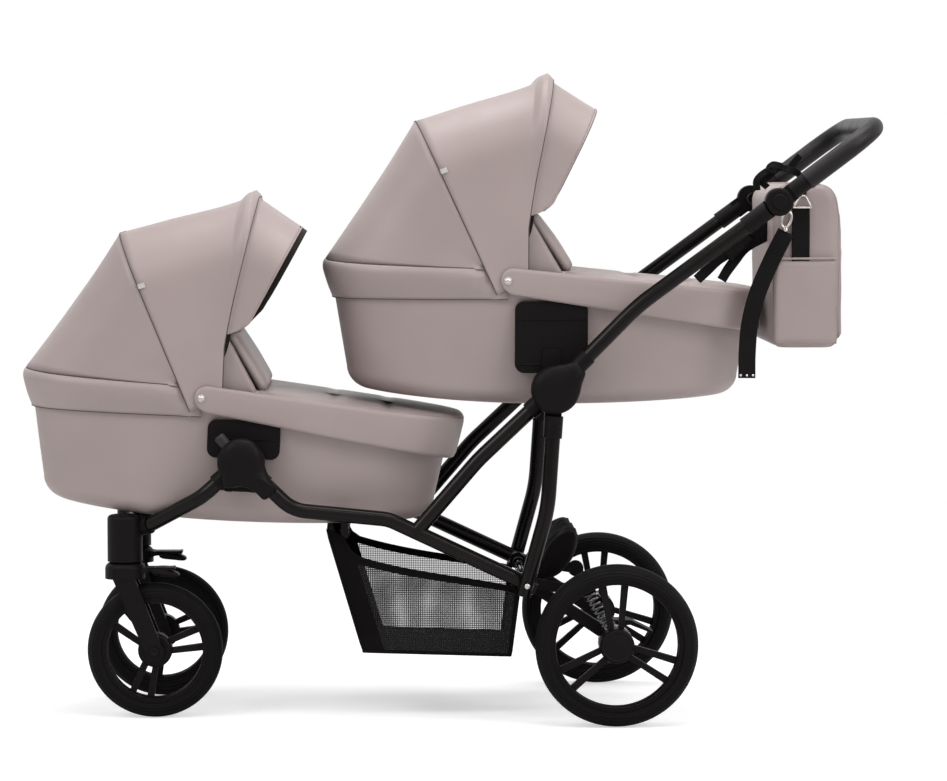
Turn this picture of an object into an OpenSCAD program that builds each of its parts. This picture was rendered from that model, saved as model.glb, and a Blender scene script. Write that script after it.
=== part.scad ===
// Tandem pram for two children: two carrycots on one folding frame, with a shopping basket and a handle bag.
// +X points to the handle, the front is at -X, +Z is up and the floor is at Z = 0.

/* [Wheels] */
// Radius of a rear wheel over its tyre
rear_r = 145; // [138:1:150]
// Radius of a front wheel over its tyre
front_r = 122; // [116:1:125]
// Width of a rear tyre
rear_tyre_w = 44; // [38:1:46]
// Width of a front tyre
front_tyre_w = 40; // [34:1:42]
// Distance between the middles of the rear tyres
rear_track = 560; // [556:1:590]
// Distance between the two swivel axes
front_track = 278; // [270:1:290]
// Distance that a front axle trails its swivel axis
trail = 53.5; // [50:0.5:56]

/* [Frame] */
// Diameter of the round frame tubes
tube_d = 27; // [24:0.5:28]
// Wall of the frame tubes
tube_wall = 1.6; // [1:0.1:2.5]
// Distance of a lower rail from the middle plane
rail_y = 212; // [210:0.5:214]
// Distance of a rear leg from the middle plane
leg_y = 240; // [239:0.5:242]
// Distance of a handle tube from the middle plane
handle_y = 247.5; // [246.5:0.5:250]
// Length of the handle tubes from the fold joint to the tilt joint
handle_len = 518; // [500:1:530]
// Angle of the handle tubes above the level
handle_angle = 40; // [38:0.5:42]
// Reach of the grip from the tilt joint to its crossbar
grip_reach = 221; // [210:1:235]

/* [Carrycots] */
// Width over the collar of a carrycot
cot_w = 420; // [412:1:422]
// Reach of the head end from the hood pivot
cot_head = 313; // [305:1:320]
// Reach of the foot end from the hood pivot
cot_foot = 486; // [470:1:490]
// Depth of the tub below the hood pivot
cot_depth = 199; // [190:1:205]
// Thickness of the tub wall
tub_wall = 9; // [6:0.5:12]
// Height of the top of the hood above its pivot
hood_h = 393; // [370:1:400]
// Thickness of the hood cloth with its lining
hood_cloth = 3; // [2:0.5:4]
// Forward tilt of the front carrycot
front_tilt = 2.5; // [0:0.5:4]

/* [Basket and bag] */
// Width of the basket
basket_w = 370; // [340:1:375]
// Thickness of the basket cloth
basket_cloth = 3; // [2:0.5:4]
// Width of the handle bag
bag_w = 368; // [330:1:370]
// Height of the handle bag
bag_h = 290; // [270:1:300]
// Depth of the handle bag
bag_d = 128; // [110:1:130]

/* [Hidden] */
$fn = 48;

// Fits and small shared sizes
overrun = 2;
seam_half = 0.4;
seam_lift = 0.03;
run_fit = 0.05;
seat_gap = 0.3;
tube_r = tube_d / 2;
collar_wall = 3;
collar_r = tube_r + collar_wall;
front = -1;
rear = 1;
left = -1;
right = 1;

// Main places, as [x, z]
rear_axle = [292, rear_r];
swivel_x = -586;
front_axle = [swivel_x + trail, front_r];
fold_at = [183, 597];
front_hub_at = [-374, 468];
arm_pivot = [134, 248];
handle_dir = [cos(handle_angle), sin(handle_angle)];
tilt_at = fold_at + handle_len * handle_dir;
handle_knee_share = 0.4;
handle_bow = 20;
handle_bend = 400;
handle_knee = fold_at + handle_len * handle_knee_share * handle_dir + handle_bow * [-handle_dir[1], handle_dir[0]];
handle_low_dir = (handle_knee - fold_at) / norm(handle_knee - fold_at);
handle_top_dir = (tilt_at - handle_knee) / norm(tilt_at - handle_knee);
grip_angle = 37;
grip_dir = [cos(grip_angle), sin(grip_angle)];
grip_at = tilt_at + grip_reach * grip_dir;
rear_pivot = [81.5, 764];
front_pivot = [-466, 556];

// Colours
satin_black = [0.09, 0.08, 0.08];
plastic_black = [0.06, 0.06, 0.065];
rubber_black = [0.04, 0.04, 0.04];
taupe = [0.66, 0.61, 0.59];
lining_black = [0.07, 0.07, 0.07];
steel = [0.75, 0.75, 0.77];
mesh_grey = [0.25, 0.25, 0.26];

// Vectors
function unit(v) = v / norm(v);
function mix(a, b, s) = a + (b - a) * s;
function mean(points) = [for (k = [0:2]) [for (p = points) p[k]] * [for (p = points) 1] / len(points)];
function at_y(p, y) = [p[0], y, p[1]];
function last(list) = list[len(list) - 1];

// Copies a shape to both sides of the middle plane
module both() {
    children();
    mirror([0, 1, 0]) children();
}

// A shape drawn on the right side goes to the side that is asked for
module on_side(side) {
    mirror([0, side < 0 ? 1 : 0, 0]) children();
}

// Turns a shape drawn along Z so that it runs along Y, outwards on the right side
module along_y() {
    rotate([-90, 0, 0]) children();
}

// A plate cut from an outline in the plane of X and Z, from y0 to y1
module side_plate(y0, y1) {
    translate([0, y1, 0]) rotate([90, 0, 0]) linear_extrude(y1 - y0) children();
}

// A round bar across the pram at a place [x, z], from y0 to y1
module cross_bar(at, r, y0, y1) {
    translate([at[0], y0, at[1]]) along_y() cylinder(h = y1 - y0, r = r);
}

// A round bar from p to q
module rod(p, q, r) {
    d = q - p;
    translate(p) rotate([0, acos(d[2] / norm(d)), atan2(d[1], d[0])]) cylinder(h = norm(d), r = r);
}

// Length of the straight that a bend takes at corner i of a path
function bend_cut(path, i, bend) =
    i == 0 || i == len(path) - 1 ? 0 :
    let (u = unit(path[i] - path[i - 1]), v = unit(path[i + 1] - path[i]))
    bend * tan(acos(min(1, u * v)) / 2);

// One bend of a tube, turning from direction u to direction v at a corner
module elbow(corner, u, v, bend, r) {
    turn = acos(u * v);
    inward = unit(v - u * (u * v));
    centre = corner - u * bend * tan(turn / 2) + inward * bend;
    axis = cross(-inward, u);
    multmatrix([
        [-inward[0], u[0], axis[0], centre[0]],
        [-inward[1], u[1], axis[1], centre[1]],
        [-inward[2], u[2], axis[2], centre[2]],
        [0, 0, 0, 1]
    ]) rotate_extrude(angle = turn) translate([bend, 0]) circle(r);
}

// A bar along a path with rounded corners
module bent_bar(path, bend, r) {
    for (i = [0:len(path) - 2]) {
        u = unit(path[i + 1] - path[i]);
        rod(path[i] + u * bend_cut(path, i, bend), path[i + 1] - u * bend_cut(path, i + 1, bend), r);
    }
    if (len(path) > 2)
        for (i = [1:len(path) - 2]) {
            u = unit(path[i] - path[i - 1]);
            v = unit(path[i + 1] - path[i]);
            cut = bend_cut(path, i, bend);
            elbow(path[i], u, v, bend, r);
            seam(path[i] - u * cut, u, r);
            seam(path[i] + v * cut, v, r);
        }
}

// A weld-thin band that joins a straight and a bend
module seam(at, u, r) {
    rod(at - u * seam_half, at + u * seam_half, r + seam_lift);
}

// The same path, longer at both ends by the overrun
function stretched(path) = [
    for (i = [0:len(path) - 1])
        i == 0 ? path[0] + unit(path[0] - path[1]) * overrun :
        i == len(path) - 1 ? path[i] + unit(path[i] - path[i - 1]) * overrun : path[i]
];

// A tube along a path with rounded corners
module bent_tube(path, bend, r, wall) {
    difference() {
        bent_bar(path, bend, r);
        bent_bar(stretched(path), bend, r - wall);
    }
}

// A disc with a rounded outer edge, from z = 0 to z = h
module button_disc(r, h, edge) {
    rotate_extrude() {
        square([r - edge, h]);
        square([r, h - edge]);
        translate([r - edge, h - edge]) circle(edge);
    }
}

// A closed skin over rings of points, each ring counter-clockwise seen from the end.
// The ends are fans, or strips where each ring goes out along a band and back.
module skin(rings, band = false) {
    n = len(rings[0]);
    m = len(rings);
    points = concat([for (ring = rings) each ring], band ? [] : [mean(rings[0]), mean(rings[m - 1])]);
    sides = [
        for (i = [0:m - 2], j = [0:n - 1])
            let (a = i * n + j, b = i * n + (j + 1) % n)
            each [[a, a + n, b + n], [a, b + n, b]]
    ];
    fans = [
        for (j = [0:n - 1])
            let (k = (j + 1) % n)
            each [[m * n, j, k], [m * n + 1, (m - 1) * n + k, (m - 1) * n + j]]
    ];
    strips = [
        for (j = [0:n / 2 - 2], far = [0, (m - 1) * n])
            let (a = far + j, b = a + 1, c = far + n - 2 - j, d = c + 1)
            each far == 0 ? [[a, b, c], [a, c, d]] : [[a, c, b], [a, d, c]]
    ];
    polyhedron(points, concat(sides, band ? strips : fans));
}

// Wheels, drawn about the Z axis with the outer face up
bead_h = 26;
rim_h = 9;
rim_w = 30;
groove_w = 2.4;
groove_at_share = 0.27;
axle_r = 6;
hub_r = 31;
hub_edge = 7;
hub_inner = 21;
spoke_root_w = 10;
spoke_tip_w = 13;
spoke_t = 13;
spoke_spread_share = 0.23;
spoke_root_gap = 4;
rear_spokes = [93, -25, -146];
front_spokes = [-107, 15, 137];

module tyre(r, w) {
    rotate_extrude() difference() {
        translate([r - w / 2, 0]) circle(w / 2);
        translate([0, -w]) square([r - bead_h, 2 * w]);
        for (s = [-1, 1]) translate([r - groove_w, s * w * groove_at_share - groove_w / 2]) square([groove_w * 2, groove_w]);
    }
}

module spoke(r) {
    tip = r - bead_h - rim_h / 2;
    spread = r * spoke_spread_share - spoke_tip_w;
    for (s = [0, 1]) mirror([0, s, 0]) linear_extrude(spoke_t) polygon([
        [hub_r / 2, spoke_root_gap / 2],
        [tip, spread / 2 + spoke_root_gap],
        [tip, spread / 2 + spoke_root_gap + spoke_tip_w],
        [hub_r / 2, spoke_root_gap / 2 + spoke_root_w]
    ]);
}

module rim(r, spokes, cap_out) {
    difference() {
        union() {
            rotate_extrude() difference() {
                translate([r - bead_h - rim_h, -rim_w / 2]) square([rim_h, rim_w]);
                translate([r - bead_h - rim_h, -rim_w / 4]) square([rim_h / 3, rim_w / 2]);
            }
            for (a = spokes) rotate([0, 0, -a]) translate([0, 0, -spoke_t / 2]) spoke(r);
            translate([0, 0, -hub_inner]) button_disc(hub_r, hub_inner + cap_out, hub_edge);
        }
        translate([0, 0, -hub_inner - overrun]) cylinder(h = hub_inner + cap_out - hub_edge + overrun, r = axle_r + run_fit);
    }
}

rear_cap_out = 20;
front_cap_out = 15;

module rear_wheel_place(side) {
    on_side(side) translate([rear_axle[0], rear_track / 2, rear_axle[1]]) along_y() children();
}

module front_wheel_place(side) {
    on_side(side) translate([front_axle[0], front_track / 2, front_axle[1]]) along_y() children();
}

module rear_tyre(side) { color(rubber_black) rear_wheel_place(side) tyre(rear_r, rear_tyre_w); }
module front_tyre(side) { color(rubber_black) front_wheel_place(side) tyre(front_r, front_tyre_w); }
module rear_rim(side) { color(plastic_black) rear_wheel_place(side) rim(rear_r, rear_spokes, rear_cap_out); }

// The front hub is the same on both faces and its bore goes right through
front_hub_r = 17;
front_hub_half = 18;

module front_rim(side) {
    color(plastic_black) front_wheel_place(side) difference() {
        union() {
            intersection() {
                rim(front_r, front_spokes, front_cap_out);
                translate([0, 0, -rim_w / 2]) cylinder(h = rim_w, r = front_r);
            }
            translate([0, 0, -front_hub_half]) cylinder(h = 2 * front_hub_half, r = front_hub_r);
        }
        translate([0, 0, -front_hub_half - overrun]) cylinder(h = 2 * (front_hub_half + overrun), r = axle_r + run_fit);
    }
}

// Front forks
housing_r = 31.5;
housing_z0 = 283;
housing_z1 = 367;
housing_edge = 8;
stem_r = 9;
stem_top = 345;
crown_r = 36;
crown_edge = 12;
crown_z0 = 252;
crown_gap = 1.5;
crown_z1 = housing_z0 - crown_gap;
leg_in = 24;
leg_t = 10;
leg_foot_r = 17;
leg_head_w = 40;
cap_r = 8;
cap_t = 4;
lock_pin_r = 3;
lock_back = 38;
lock_z = 268;
lock_at = [swivel_x + lock_back, lock_z];
lock_len = 50;
lock_w = 30;
lock_t = 9;
lock_gap = 1;

module fork_leg_outline() {
    translate(front_axle) circle(leg_foot_r);
    polygon([
        [swivel_x - leg_head_w / 2, crown_z1 - crown_edge],
        [swivel_x - leg_head_w / 2, crown_z0],
        front_axle - [leg_foot_r, 0],
        front_axle + [leg_foot_r, 0],
        [swivel_x + leg_head_w / 2, crown_z0],
        [swivel_x + leg_head_w / 2, crown_z1 - crown_edge]
    ]);
}

module fork(side) {
    color(plastic_black) on_side(side) translate([0, front_track / 2, 0]) difference() {
        union() {
            translate([swivel_x, 0, crown_z0]) button_disc(crown_r, crown_z1 - crown_z0, crown_edge);
            translate([swivel_x, 0, crown_z0]) cylinder(h = stem_top - crown_z0, r = stem_r);
            both() side_plate(leg_in, leg_in + leg_t) fork_leg_outline();
            cross_bar(front_axle, axle_r, -leg_in - leg_t - cap_t, leg_in + leg_t + cap_t);
            both() cross_bar(front_axle, cap_r, leg_in + leg_t, leg_in + leg_t + cap_t);
            both() cross_bar(lock_at, lock_t / 2, lock_w / 2 + lock_gap, lock_w / 2 + lock_gap + cap_t);
            both() side_plate(lock_w / 2 + lock_gap, lock_w / 2 + lock_gap + cap_t)
                polygon([[swivel_x, crown_z0], [lock_at[0], lock_at[1] - lock_t / 2],
                    [lock_at[0], lock_at[1] + lock_t / 2], [swivel_x, crown_z1 - cap_t]]);
            cross_bar(lock_at, lock_pin_r, -lock_w / 2 - lock_gap - cap_t, lock_w / 2 + lock_gap + cap_t);
        }
        side_plate(-lock_w / 2 - lock_gap, lock_w / 2 + lock_gap) difference() {
            translate(lock_at) circle(lock_t / 2 + lock_gap);
            translate(lock_at) circle(lock_pin_r);
        }
    }
}

module swivel_lock(side) {
    color(plastic_black) on_side(side) translate([0, front_track / 2, 0]) side_plate(-lock_w / 2, lock_w / 2) difference() {
        union() {
            translate(lock_at) circle(lock_t / 2);
            translate(lock_at) polygon([
                [0, -lock_t / 2], [lock_len, 0], [lock_len, lock_t / 2], [0, lock_t / 2]
            ]);
            translate(lock_at + [lock_len, lock_t / 4]) circle(lock_t / 3);
        }
        translate(lock_at) circle(lock_pin_r + run_fit);
    }
}

// Frame tubes
rail_knee = [-283, 381];
rail_hip = [-112, 364];
rail_end = [152, 240];
rail_bend = 70;
tube_in = 36;
collar_from = 18;
collar_to = 60;
front_tube_knee = [-446, 212, 404];
front_tube_hip = [-540, 152, 350];
socket_out = 3;
socket_z = 346;
housing_socket = [swivel_x + housing_r, front_track / 2 + socket_out, socket_z];
front_tube_bend = 60;
leg_knee = [171, 385];
leg_foot = [128, 228];
leg_bend = 300;
leg_top_drop = 50;
leg_top_lean = 1;
leg_top = fold_at - [leg_top_lean, leg_top_drop];
strut_knee = [48, 470];
strut_foot = [-63, 341];
strut_bend = 300;
strut_in = 38;
shaft_r = 7;

rail_start = front_hub_at + unit(rail_knee - front_hub_at) * tube_in;
rail_path = [for (p = [rail_start, rail_knee, rail_hip, rail_end]) at_y(p, rail_y)];
front_tube_dir = unit(front_tube_knee - at_y(front_hub_at, rail_y));
front_tube_path = [at_y(front_hub_at, rail_y) + front_tube_dir * tube_in, front_tube_knee, front_tube_hip, housing_socket];
leg_path = [for (p = [leg_top, leg_knee, leg_foot]) at_y(p, leg_y)];
strut_dir = unit(strut_knee - fold_at);
strut_path = [for (p = [strut_foot, strut_knee, fold_at + strut_dir * strut_in]) at_y(p, rail_y)];

module lower_rails() {
    color(satin_black) both() difference() {
        bent_tube(rail_path, rail_bend, tube_r, tube_wall);
        cross_bar(arm_pivot, shaft_r + run_fit, rail_y - tube_r - overrun, rail_y + tube_r + overrun);
    }
}

module front_tubes() {
    color(satin_black) both() bent_tube(front_tube_path, front_tube_bend, tube_r, tube_wall);
}

module rear_legs() {
    color(satin_black) both() difference() {
        bent_tube(leg_path, leg_bend, tube_r, tube_wall);
        cross_bar(arm_pivot, shaft_r + run_fit, leg_y - tube_r - overrun, leg_y + tube_r + overrun);
    }
}

// The foot of each diagonal is cut to sit on the lower rail
module diagonals() {
    color(satin_black) both() difference() {
        bent_tube(strut_path, strut_bend, tube_r, tube_wall);
        rod(at_y(rail_hip, rail_y), at_y(rail_end, rail_y), tube_r + run_fit);
    }
}

// Hubs that carry the carrycots
hub_in = 199;
front_hub_disc_r = 42;
front_hub_out = 250;
rear_core_r = 40;
rear_core_out = 231;
hub_round = 9;
fold_pin_r = 7;
cover_gap = 1.5;
cover_in = rear_core_out + cover_gap;
cover_out = 262;
cover_r = 42;
cover_round = 10;
fold_pin_cover = 6;
fold_pin_end = cover_out - fold_pin_cover;
web_w = 30;
leg_collar_len = 36;
leg_dir = unit(leg_knee - leg_top);
catch_r = 9;
catch_len = 20;
catch_dir = unit([-0.65, 0.76]);

// Adapter tongue and the panel groove that it fits, in a carrycot's own frame
groove_x = 98;
slot_w = 34;
groove_depth = 8;
groove_top = -95;
panel_out = 197.5;
panel_x0 = 33;
panel_x1 = 163;
panel_z0 = -140;
panel_z1 = -12;
panel_round = 16;
front_panel_z0 = -80;
front_stem_x0 = 58;
front_stem_x1 = 136;
tongue_in = panel_out - groove_depth + seat_gap;
front_tongue_bottom = -118;
rear_tongue_bottom = -180;
tongue_root_top = -118;

module cot_place(which) {
    pivot = which == front ? front_pivot : rear_pivot;
    translate(at_y(pivot, 0)) rotate([0, which == front ? front_tilt : 0, 0]) children();
}

module tongue(bottom, root_top) {
    wide = slot_w - 2 * seat_gap;
    translate([groove_x - wide / 2, tongue_in, bottom]) cube([wide, hub_in + overrun - tongue_in, groove_top - seat_gap - bottom]);
    translate([groove_x - wide / 2, hub_in, bottom]) cube([wide, hub_round, root_top - bottom]);
}

module hub_disc(at, r, y0, y1, round) {
    translate([at[0], y0, at[1]]) along_y() button_disc(r, y1 - y0, round);
}

// Cuts the inner side of a hub's collars flush with the hub, so that they clear the carrycot
module trimmed(at) {
    difference() {
        children();
        cross_bar(at, 2 * collar_to, hub_in - collar_to, hub_in);
    }
}

module front_hubs() {
    centre = at_y(front_hub_at, rail_y);
    color(plastic_black) both() difference() {
        union() {
            hub_disc(front_hub_at, front_hub_disc_r, hub_in, front_hub_out, hub_round);
            trimmed(front_hub_at) for (d = [unit(rail_path[1] - rail_path[0]), front_tube_dir])
                rod(centre + d * collar_from, centre + d * collar_to, collar_r);
            cot_place(front) tongue(front_tongue_bottom, groove_top - seat_gap);
            catch_at = front_hub_at + catch_dir * (front_hub_disc_r - overrun);
            rod(at_y(catch_at, rail_y + collar_r), at_y(catch_at + catch_dir * catch_len, rail_y + collar_r), catch_r);
        }
        rod(rail_path[0], rail_path[1], tube_r + run_fit);
        rod(front_tube_path[0], front_tube_path[1], tube_r + run_fit);
    }
}

module rear_hubs() {
    centre = at_y(fold_at, rail_y);
    leg_head = at_y(leg_top, leg_y);
    color(plastic_black) both() difference() {
        union() {
            hub_disc(fold_at, rear_core_r, hub_in, rear_core_out, hub_round / 3);
            trimmed(fold_at)
                rod(centre + at_y(strut_dir, 0) * collar_from, centre + at_y(strut_dir, 0) * collar_to, collar_r);
            rod(leg_head - at_y(leg_dir, 0) * collar_wall, leg_head + at_y(leg_dir, 0) * leg_collar_len, collar_r);
            side_plate(hub_in, rear_core_out) polygon([
                fold_at - [web_w / 2, 0], fold_at + [web_w / 2, 0],
                leg_top + leg_collar_len * leg_dir + [web_w / 2, 0],
                leg_top + leg_collar_len * leg_dir - [web_w / 2, 0]
            ]);
            cross_bar(fold_at, fold_pin_r, hub_in, fold_pin_end);
            cot_place(rear) tongue(rear_tongue_bottom, tongue_root_top);
        }
        rod(last(strut_path), strut_path[1], tube_r + run_fit);
        rod(leg_path[0], leg_path[1], tube_r + run_fit);
    }
}

// Cross tubes and swivel housings
socket_fit = 0.6;
front_cross_r = 11;
front_cross_at = [swivel_x, 345];
basket_bar_at = [-190, 333];
basket_bar_r = 7;
basket_half = basket_w / 2;
hanger_t = 5;
hanger_step = 13;
hanger_rise = 47;
hanger_clear = 2;

// The basket's bar hangs from the lower rails on two cranked plates
module basket_bar() {
    end = basket_half - basket_cloth - hanger_clear;
    cross_bar(basket_bar_at, basket_bar_r, -end, end);
    both() translate(at_y(basket_bar_at, end - hanger_t) - [basket_bar_r, 0, 0]) {
        cube([2 * basket_bar_r, hanger_t, hanger_rise]);
        translate([0, 0, hanger_step])
            cube([2 * basket_bar_r, rail_y - tube_r - seat_gap - end + hanger_t, hanger_rise - hanger_step]);
    }
}

module cross_tubes() {
    color(satin_black) {
        cross_bar(front_cross_at, front_cross_r, -front_track / 2 + housing_r, front_track / 2 - housing_r);
        basket_bar();
        cross_bar(arm_pivot, shaft_r, -leg_y - tube_r - cap_t, leg_y + tube_r + cap_t);
    }
}

module swivel_housings() {
    socket_dir = unit(front_tube_hip - housing_socket);
    color(plastic_black) both() difference() {
        union() {
            translate([swivel_x, front_track / 2, housing_z0]) button_disc(housing_r, housing_z1 - housing_z0, housing_edge);
            rod(housing_socket - socket_dir * collar_from, housing_socket + socket_dir * collar_from, collar_r);
        }
        rod(housing_socket, front_tube_hip, tube_r + socket_fit);
        translate([swivel_x, front_track / 2, housing_z0 - overrun]) cylinder(h = stem_top - housing_z0 + 2 * overrun, r = stem_r + run_fit);
        cross_bar(front_cross_at, front_cross_r + run_fit, 0, front_track / 2 - housing_r + run_fit);
    }
}

// Rear axle with its swing arms and springs
arm_t = 20;
arm_inboard = 94;
arm_out = rear_track / 2 - arm_inboard;
arm_in = arm_out - arm_t;
arm_eye_r = 15;
axle_eye_r = 19;
arm_waist_share = 0.62;
axle_tube_r = 10;
drum_w = 44;
axle_tube_out = rear_track / 2 - drum_w;
arm_gap = 1;
bracket_in = arm_out + arm_gap;
bracket_t = 10;
bracket_out = bracket_in + bracket_t;
bracket_eye_r = 15;
spring_inboard = 68;
spring_y = rear_track / 2 - spring_inboard;
spring_top = [246, 229];
spring_foot = [279, 174];
spring_r = 9.2;
wire_r = 1.5;
spring_turns = 7;
curl_rings = 8;
wire_sides = 6;
seat_r = 13;
seat_t = 6;
spring_dir = unit(spring_foot - spring_top);

module arm_outline(a, ra, b, rb, waist_share) {
    n = unit([a[1] - b[1], b[0] - a[0]]);
    translate(a) circle(ra);
    translate(b) circle(rb);
    polygon([a + n * ra * waist_share, b + n * rb * waist_share, b - n * rb * waist_share, a - n * ra * waist_share]);
}

module swing_arms() {
    color(plastic_black) both() difference() {
        side_plate(arm_in, arm_out) arm_outline(arm_pivot, arm_eye_r, rear_axle, axle_eye_r, arm_waist_share);
        cross_bar(arm_pivot, shaft_r + run_fit, arm_in - overrun, arm_out + overrun);
        cross_bar(rear_axle, axle_tube_r + run_fit, arm_in - overrun, arm_out + overrun);
    }
}

module axle_tube() {
    stub_out = rear_track / 2 + rear_cap_out - hub_edge - overrun;
    drum_in = axle_tube_out - seat_t;
    seat = spring_foot + spring_dir * (wire_r + seat_gap);
    color(satin_black) {
        cross_bar(rear_axle, axle_tube_r, -axle_tube_out, axle_tube_out);
        both() cross_bar(rear_axle, axle_r, axle_tube_out - overrun, stub_out);
        both() cross_bar(rear_axle, hub_r, drum_in, rear_track / 2 - hub_inner - seat_gap);
        both() rod(at_y(seat, spring_y), at_y(seat + spring_dir * seat_t, spring_y), seat_r);
        both() side_plate(spring_y - seat_r / 2, spring_y + seat_r / 2) polygon([
            seat + spring_dir * seat_t / 2 - [seat_r / 2, 0], seat + spring_dir * seat_t / 2 + [seat_r / 2, 0],
            rear_axle + [axle_tube_r / 2, 0], rear_axle - [axle_tube_r / 2, 0]
        ]);
    }
}

module spring_brackets() {
    seat = spring_top - spring_dir * (wire_r + seat_gap);
    color(plastic_black) both() difference() {
        union() {
            side_plate(bracket_in, bracket_out) arm_outline(arm_pivot, bracket_eye_r, seat, bracket_eye_r, arm_waist_share);
            rod(at_y(seat, spring_y), at_y(seat - spring_dir * seat_t, spring_y), seat_r);
            side_plate(bracket_in, spring_y + seat_r / 2) polygon([
                seat - spring_dir * seat_t - [seat_r, 0], seat - [seat_r / 2, 0],
                seat + [0, 0], seat - spring_dir * seat_t + [seat_r, 0]
            ]);
        }
        cross_bar(arm_pivot, shaft_r + run_fit, bracket_in - overrun, bracket_out + overrun);
        rod(at_y(spring_top - spring_dir * (wire_r + seat_gap), spring_y), at_y(spring_foot, spring_y), seat_r + seat_t);
    }
}

// The coil's middle line, with its ends closed up to the two seats
function coil_at(k, count) =
    let (
        turn = 360 * spring_turns * k / count,
        side = [spring_dir[1], -spring_dir[0]],
        mid = mix(spring_top, spring_foot, k / count)
    )
    at_y(mid + side * spring_r * cos(turn), spring_y + spring_r * sin(turn));

coil_count = spring_turns * curl_rings;
coil_path = [for (k = [0:coil_count]) coil_at(k, coil_count)];

// Least gap of the coil's wire to itself, measured on points at least half a curl apart
coil_gap = min([
    for (i = [0:coil_count], j = [i + curl_rings / 2:1:coil_count]) norm(coil_path[i] - coil_path[j])
]) - 2 * wire_r;
echo(coil_gap = coil_gap);

function ring_about(path, i, r, sides) =
    let (
        ahead = unit(path[min(i + 1, len(path) - 1)] - path[max(i - 1, 0)]),
        aside = unit(cross([spring_dir[0], 0, spring_dir[1]], ahead)),
        up = cross(ahead, aside)
    )
    [for (s = [0:sides - 1]) path[i] + r * (aside * cos(360 * s / sides) + up * sin(360 * s / sides))];

module springs() {
    color(steel) both() skin([for (i = [0:coil_count]) ring_about(coil_path, i, wire_r, wire_sides)]);
}

// Foot brake on the middle of the axle
pedal_half = 24;
pedal_r = 15;
pedal_len = 84;
pedal_drop = 8;
pedal_t = 9;
pedal_rise = 13;

module brake_pedal() {
    color(plastic_black) difference() {
        union() {
            cross_bar(rear_axle, pedal_r, -pedal_half, pedal_half);
            side_plate(-pedal_half, pedal_half) translate(rear_axle) polygon([
                [0, pedal_rise], [pedal_len / 2, pedal_rise], [pedal_len, -pedal_drop],
                [pedal_len, -pedal_drop - pedal_t / 2], [pedal_len / 2, pedal_rise - pedal_t], [0, 0]
            ]);
        }
        cross_bar(rear_axle, axle_tube_r + run_fit, -pedal_half - overrun, pedal_half + overrun);
    }
}

// Bolt heads on the frame
bolt_r = 6;
bolt_t = 3;
rail_bolt_share = 0.19;
leg_bolt_share = 0.12;

module frame_bolts() {
    color(steel) both() {
        cross_bar(mix(rail_hip, rail_end, rail_bolt_share), bolt_r, rail_y + tube_r, rail_y + tube_r + bolt_t);
        cross_bar(arm_pivot, bolt_r, leg_y + tube_r + cap_t, leg_y + tube_r + cap_t + bolt_t);
        cross_bar(mix(leg_top, leg_knee, leg_bolt_share), bolt_r, leg_y + collar_r, leg_y + collar_r + bolt_t);
    }
}

// Basket: an open tray of cloth with loops on its bar and on the rear shaft, and a folded lip behind the shaft
basket_front_top = [-222, 342];
basket_front_foot = [-157, 121];
basket_rear_foot = [108, 113];
basket_rear_top = [123, 236];
basket_taper = 14;
loop_from_arm = 26;
loop_spacing = 80;
loop_ys = [arm_in - loop_from_arm - loop_spacing, arm_in - loop_from_arm];
loop_w = 20;
loop_t = 3;
loop_play = 0.3;
lip_from_arm = 21;
lip_half = arm_in - lip_from_arm;
lip_w = 92;
lip_h = 108;
lip_drop = 11;
lip_shares = [
    [0, 0.07], [0.64, 0], [0.85, 0.4], [1, 0.79], [0.77, 1], [0.52, 0.9], [0.3, 0.58], [0.17, 0.27], [0, 0.18]
];

function tray_ring(front_at, rear_at, half) = [
    at_y(front_at, -half), at_y(rear_at, -half), at_y(rear_at, half), at_y(front_at, half)
];

module cloth_loop(at, r, y) {
    side_plate(y - loop_w / 2, y + loop_w / 2) translate(at) difference() {
        circle(r + loop_play + loop_t);
        circle(r + loop_play);
    }
}

module basket() {
    in = basket_cloth;
    color(mesh_grey) {
        skin([
            tray_ring(basket_front_foot, basket_rear_foot, basket_half - basket_taper),
            tray_ring(basket_front_top, basket_rear_top, basket_half),
            tray_ring(basket_front_top + [in, 0], basket_rear_top - [in, 0], basket_half - in),
            tray_ring(basket_front_foot + [in, in], basket_rear_foot + [-in, in], basket_half - basket_taper - in)
        ]);
        both() for (y = loop_ys) {
            cloth_loop(basket_bar_at, basket_bar_r, y);
            cloth_loop(arm_pivot, shaft_r, y);
        }
        side_plate(-lip_half, lip_half) translate(arm_pivot + [shaft_r + loop_t + 2 * loop_play, -lip_drop])
            polygon([for (s = lip_shares) [s[0] * lip_w, s[1] * lip_h]]);
    }
}

// Handle
neck_r = 15.5;
neck_from = 25;
neck_to = 85;
handle_in = 46;
sleeve_len = 74;
sleeve_r = 16.5;
sleeve_end = 26;
tilt_r = 25;
tilt_in = 234;
tilt_mid = 246;
tilt_out = 262;
tilt_round = 5;
tilt_pin_r = 5;
tilt_pin_end = 255;
peg_r = 9;
peg_in = 188;
arm_from = 31;
arm_collar_to = 62;
bar_r = 11;
bar_wall = 2;
sleeve_grip_r = 17.5;
grip_bend = 75;
button_r = 14;
button_rest = 259;
button_out = 265;
button_travel = 3;

handle_path = [
    at_y(fold_at + handle_in * handle_low_dir, handle_y), at_y(handle_knee, handle_y),
    at_y(tilt_at - sleeve_end * handle_top_dir, handle_y)
];

module handle_tubes() {
    color(satin_black) both() bent_tube(handle_path, handle_bend, tube_r, tube_wall);
}

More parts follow.
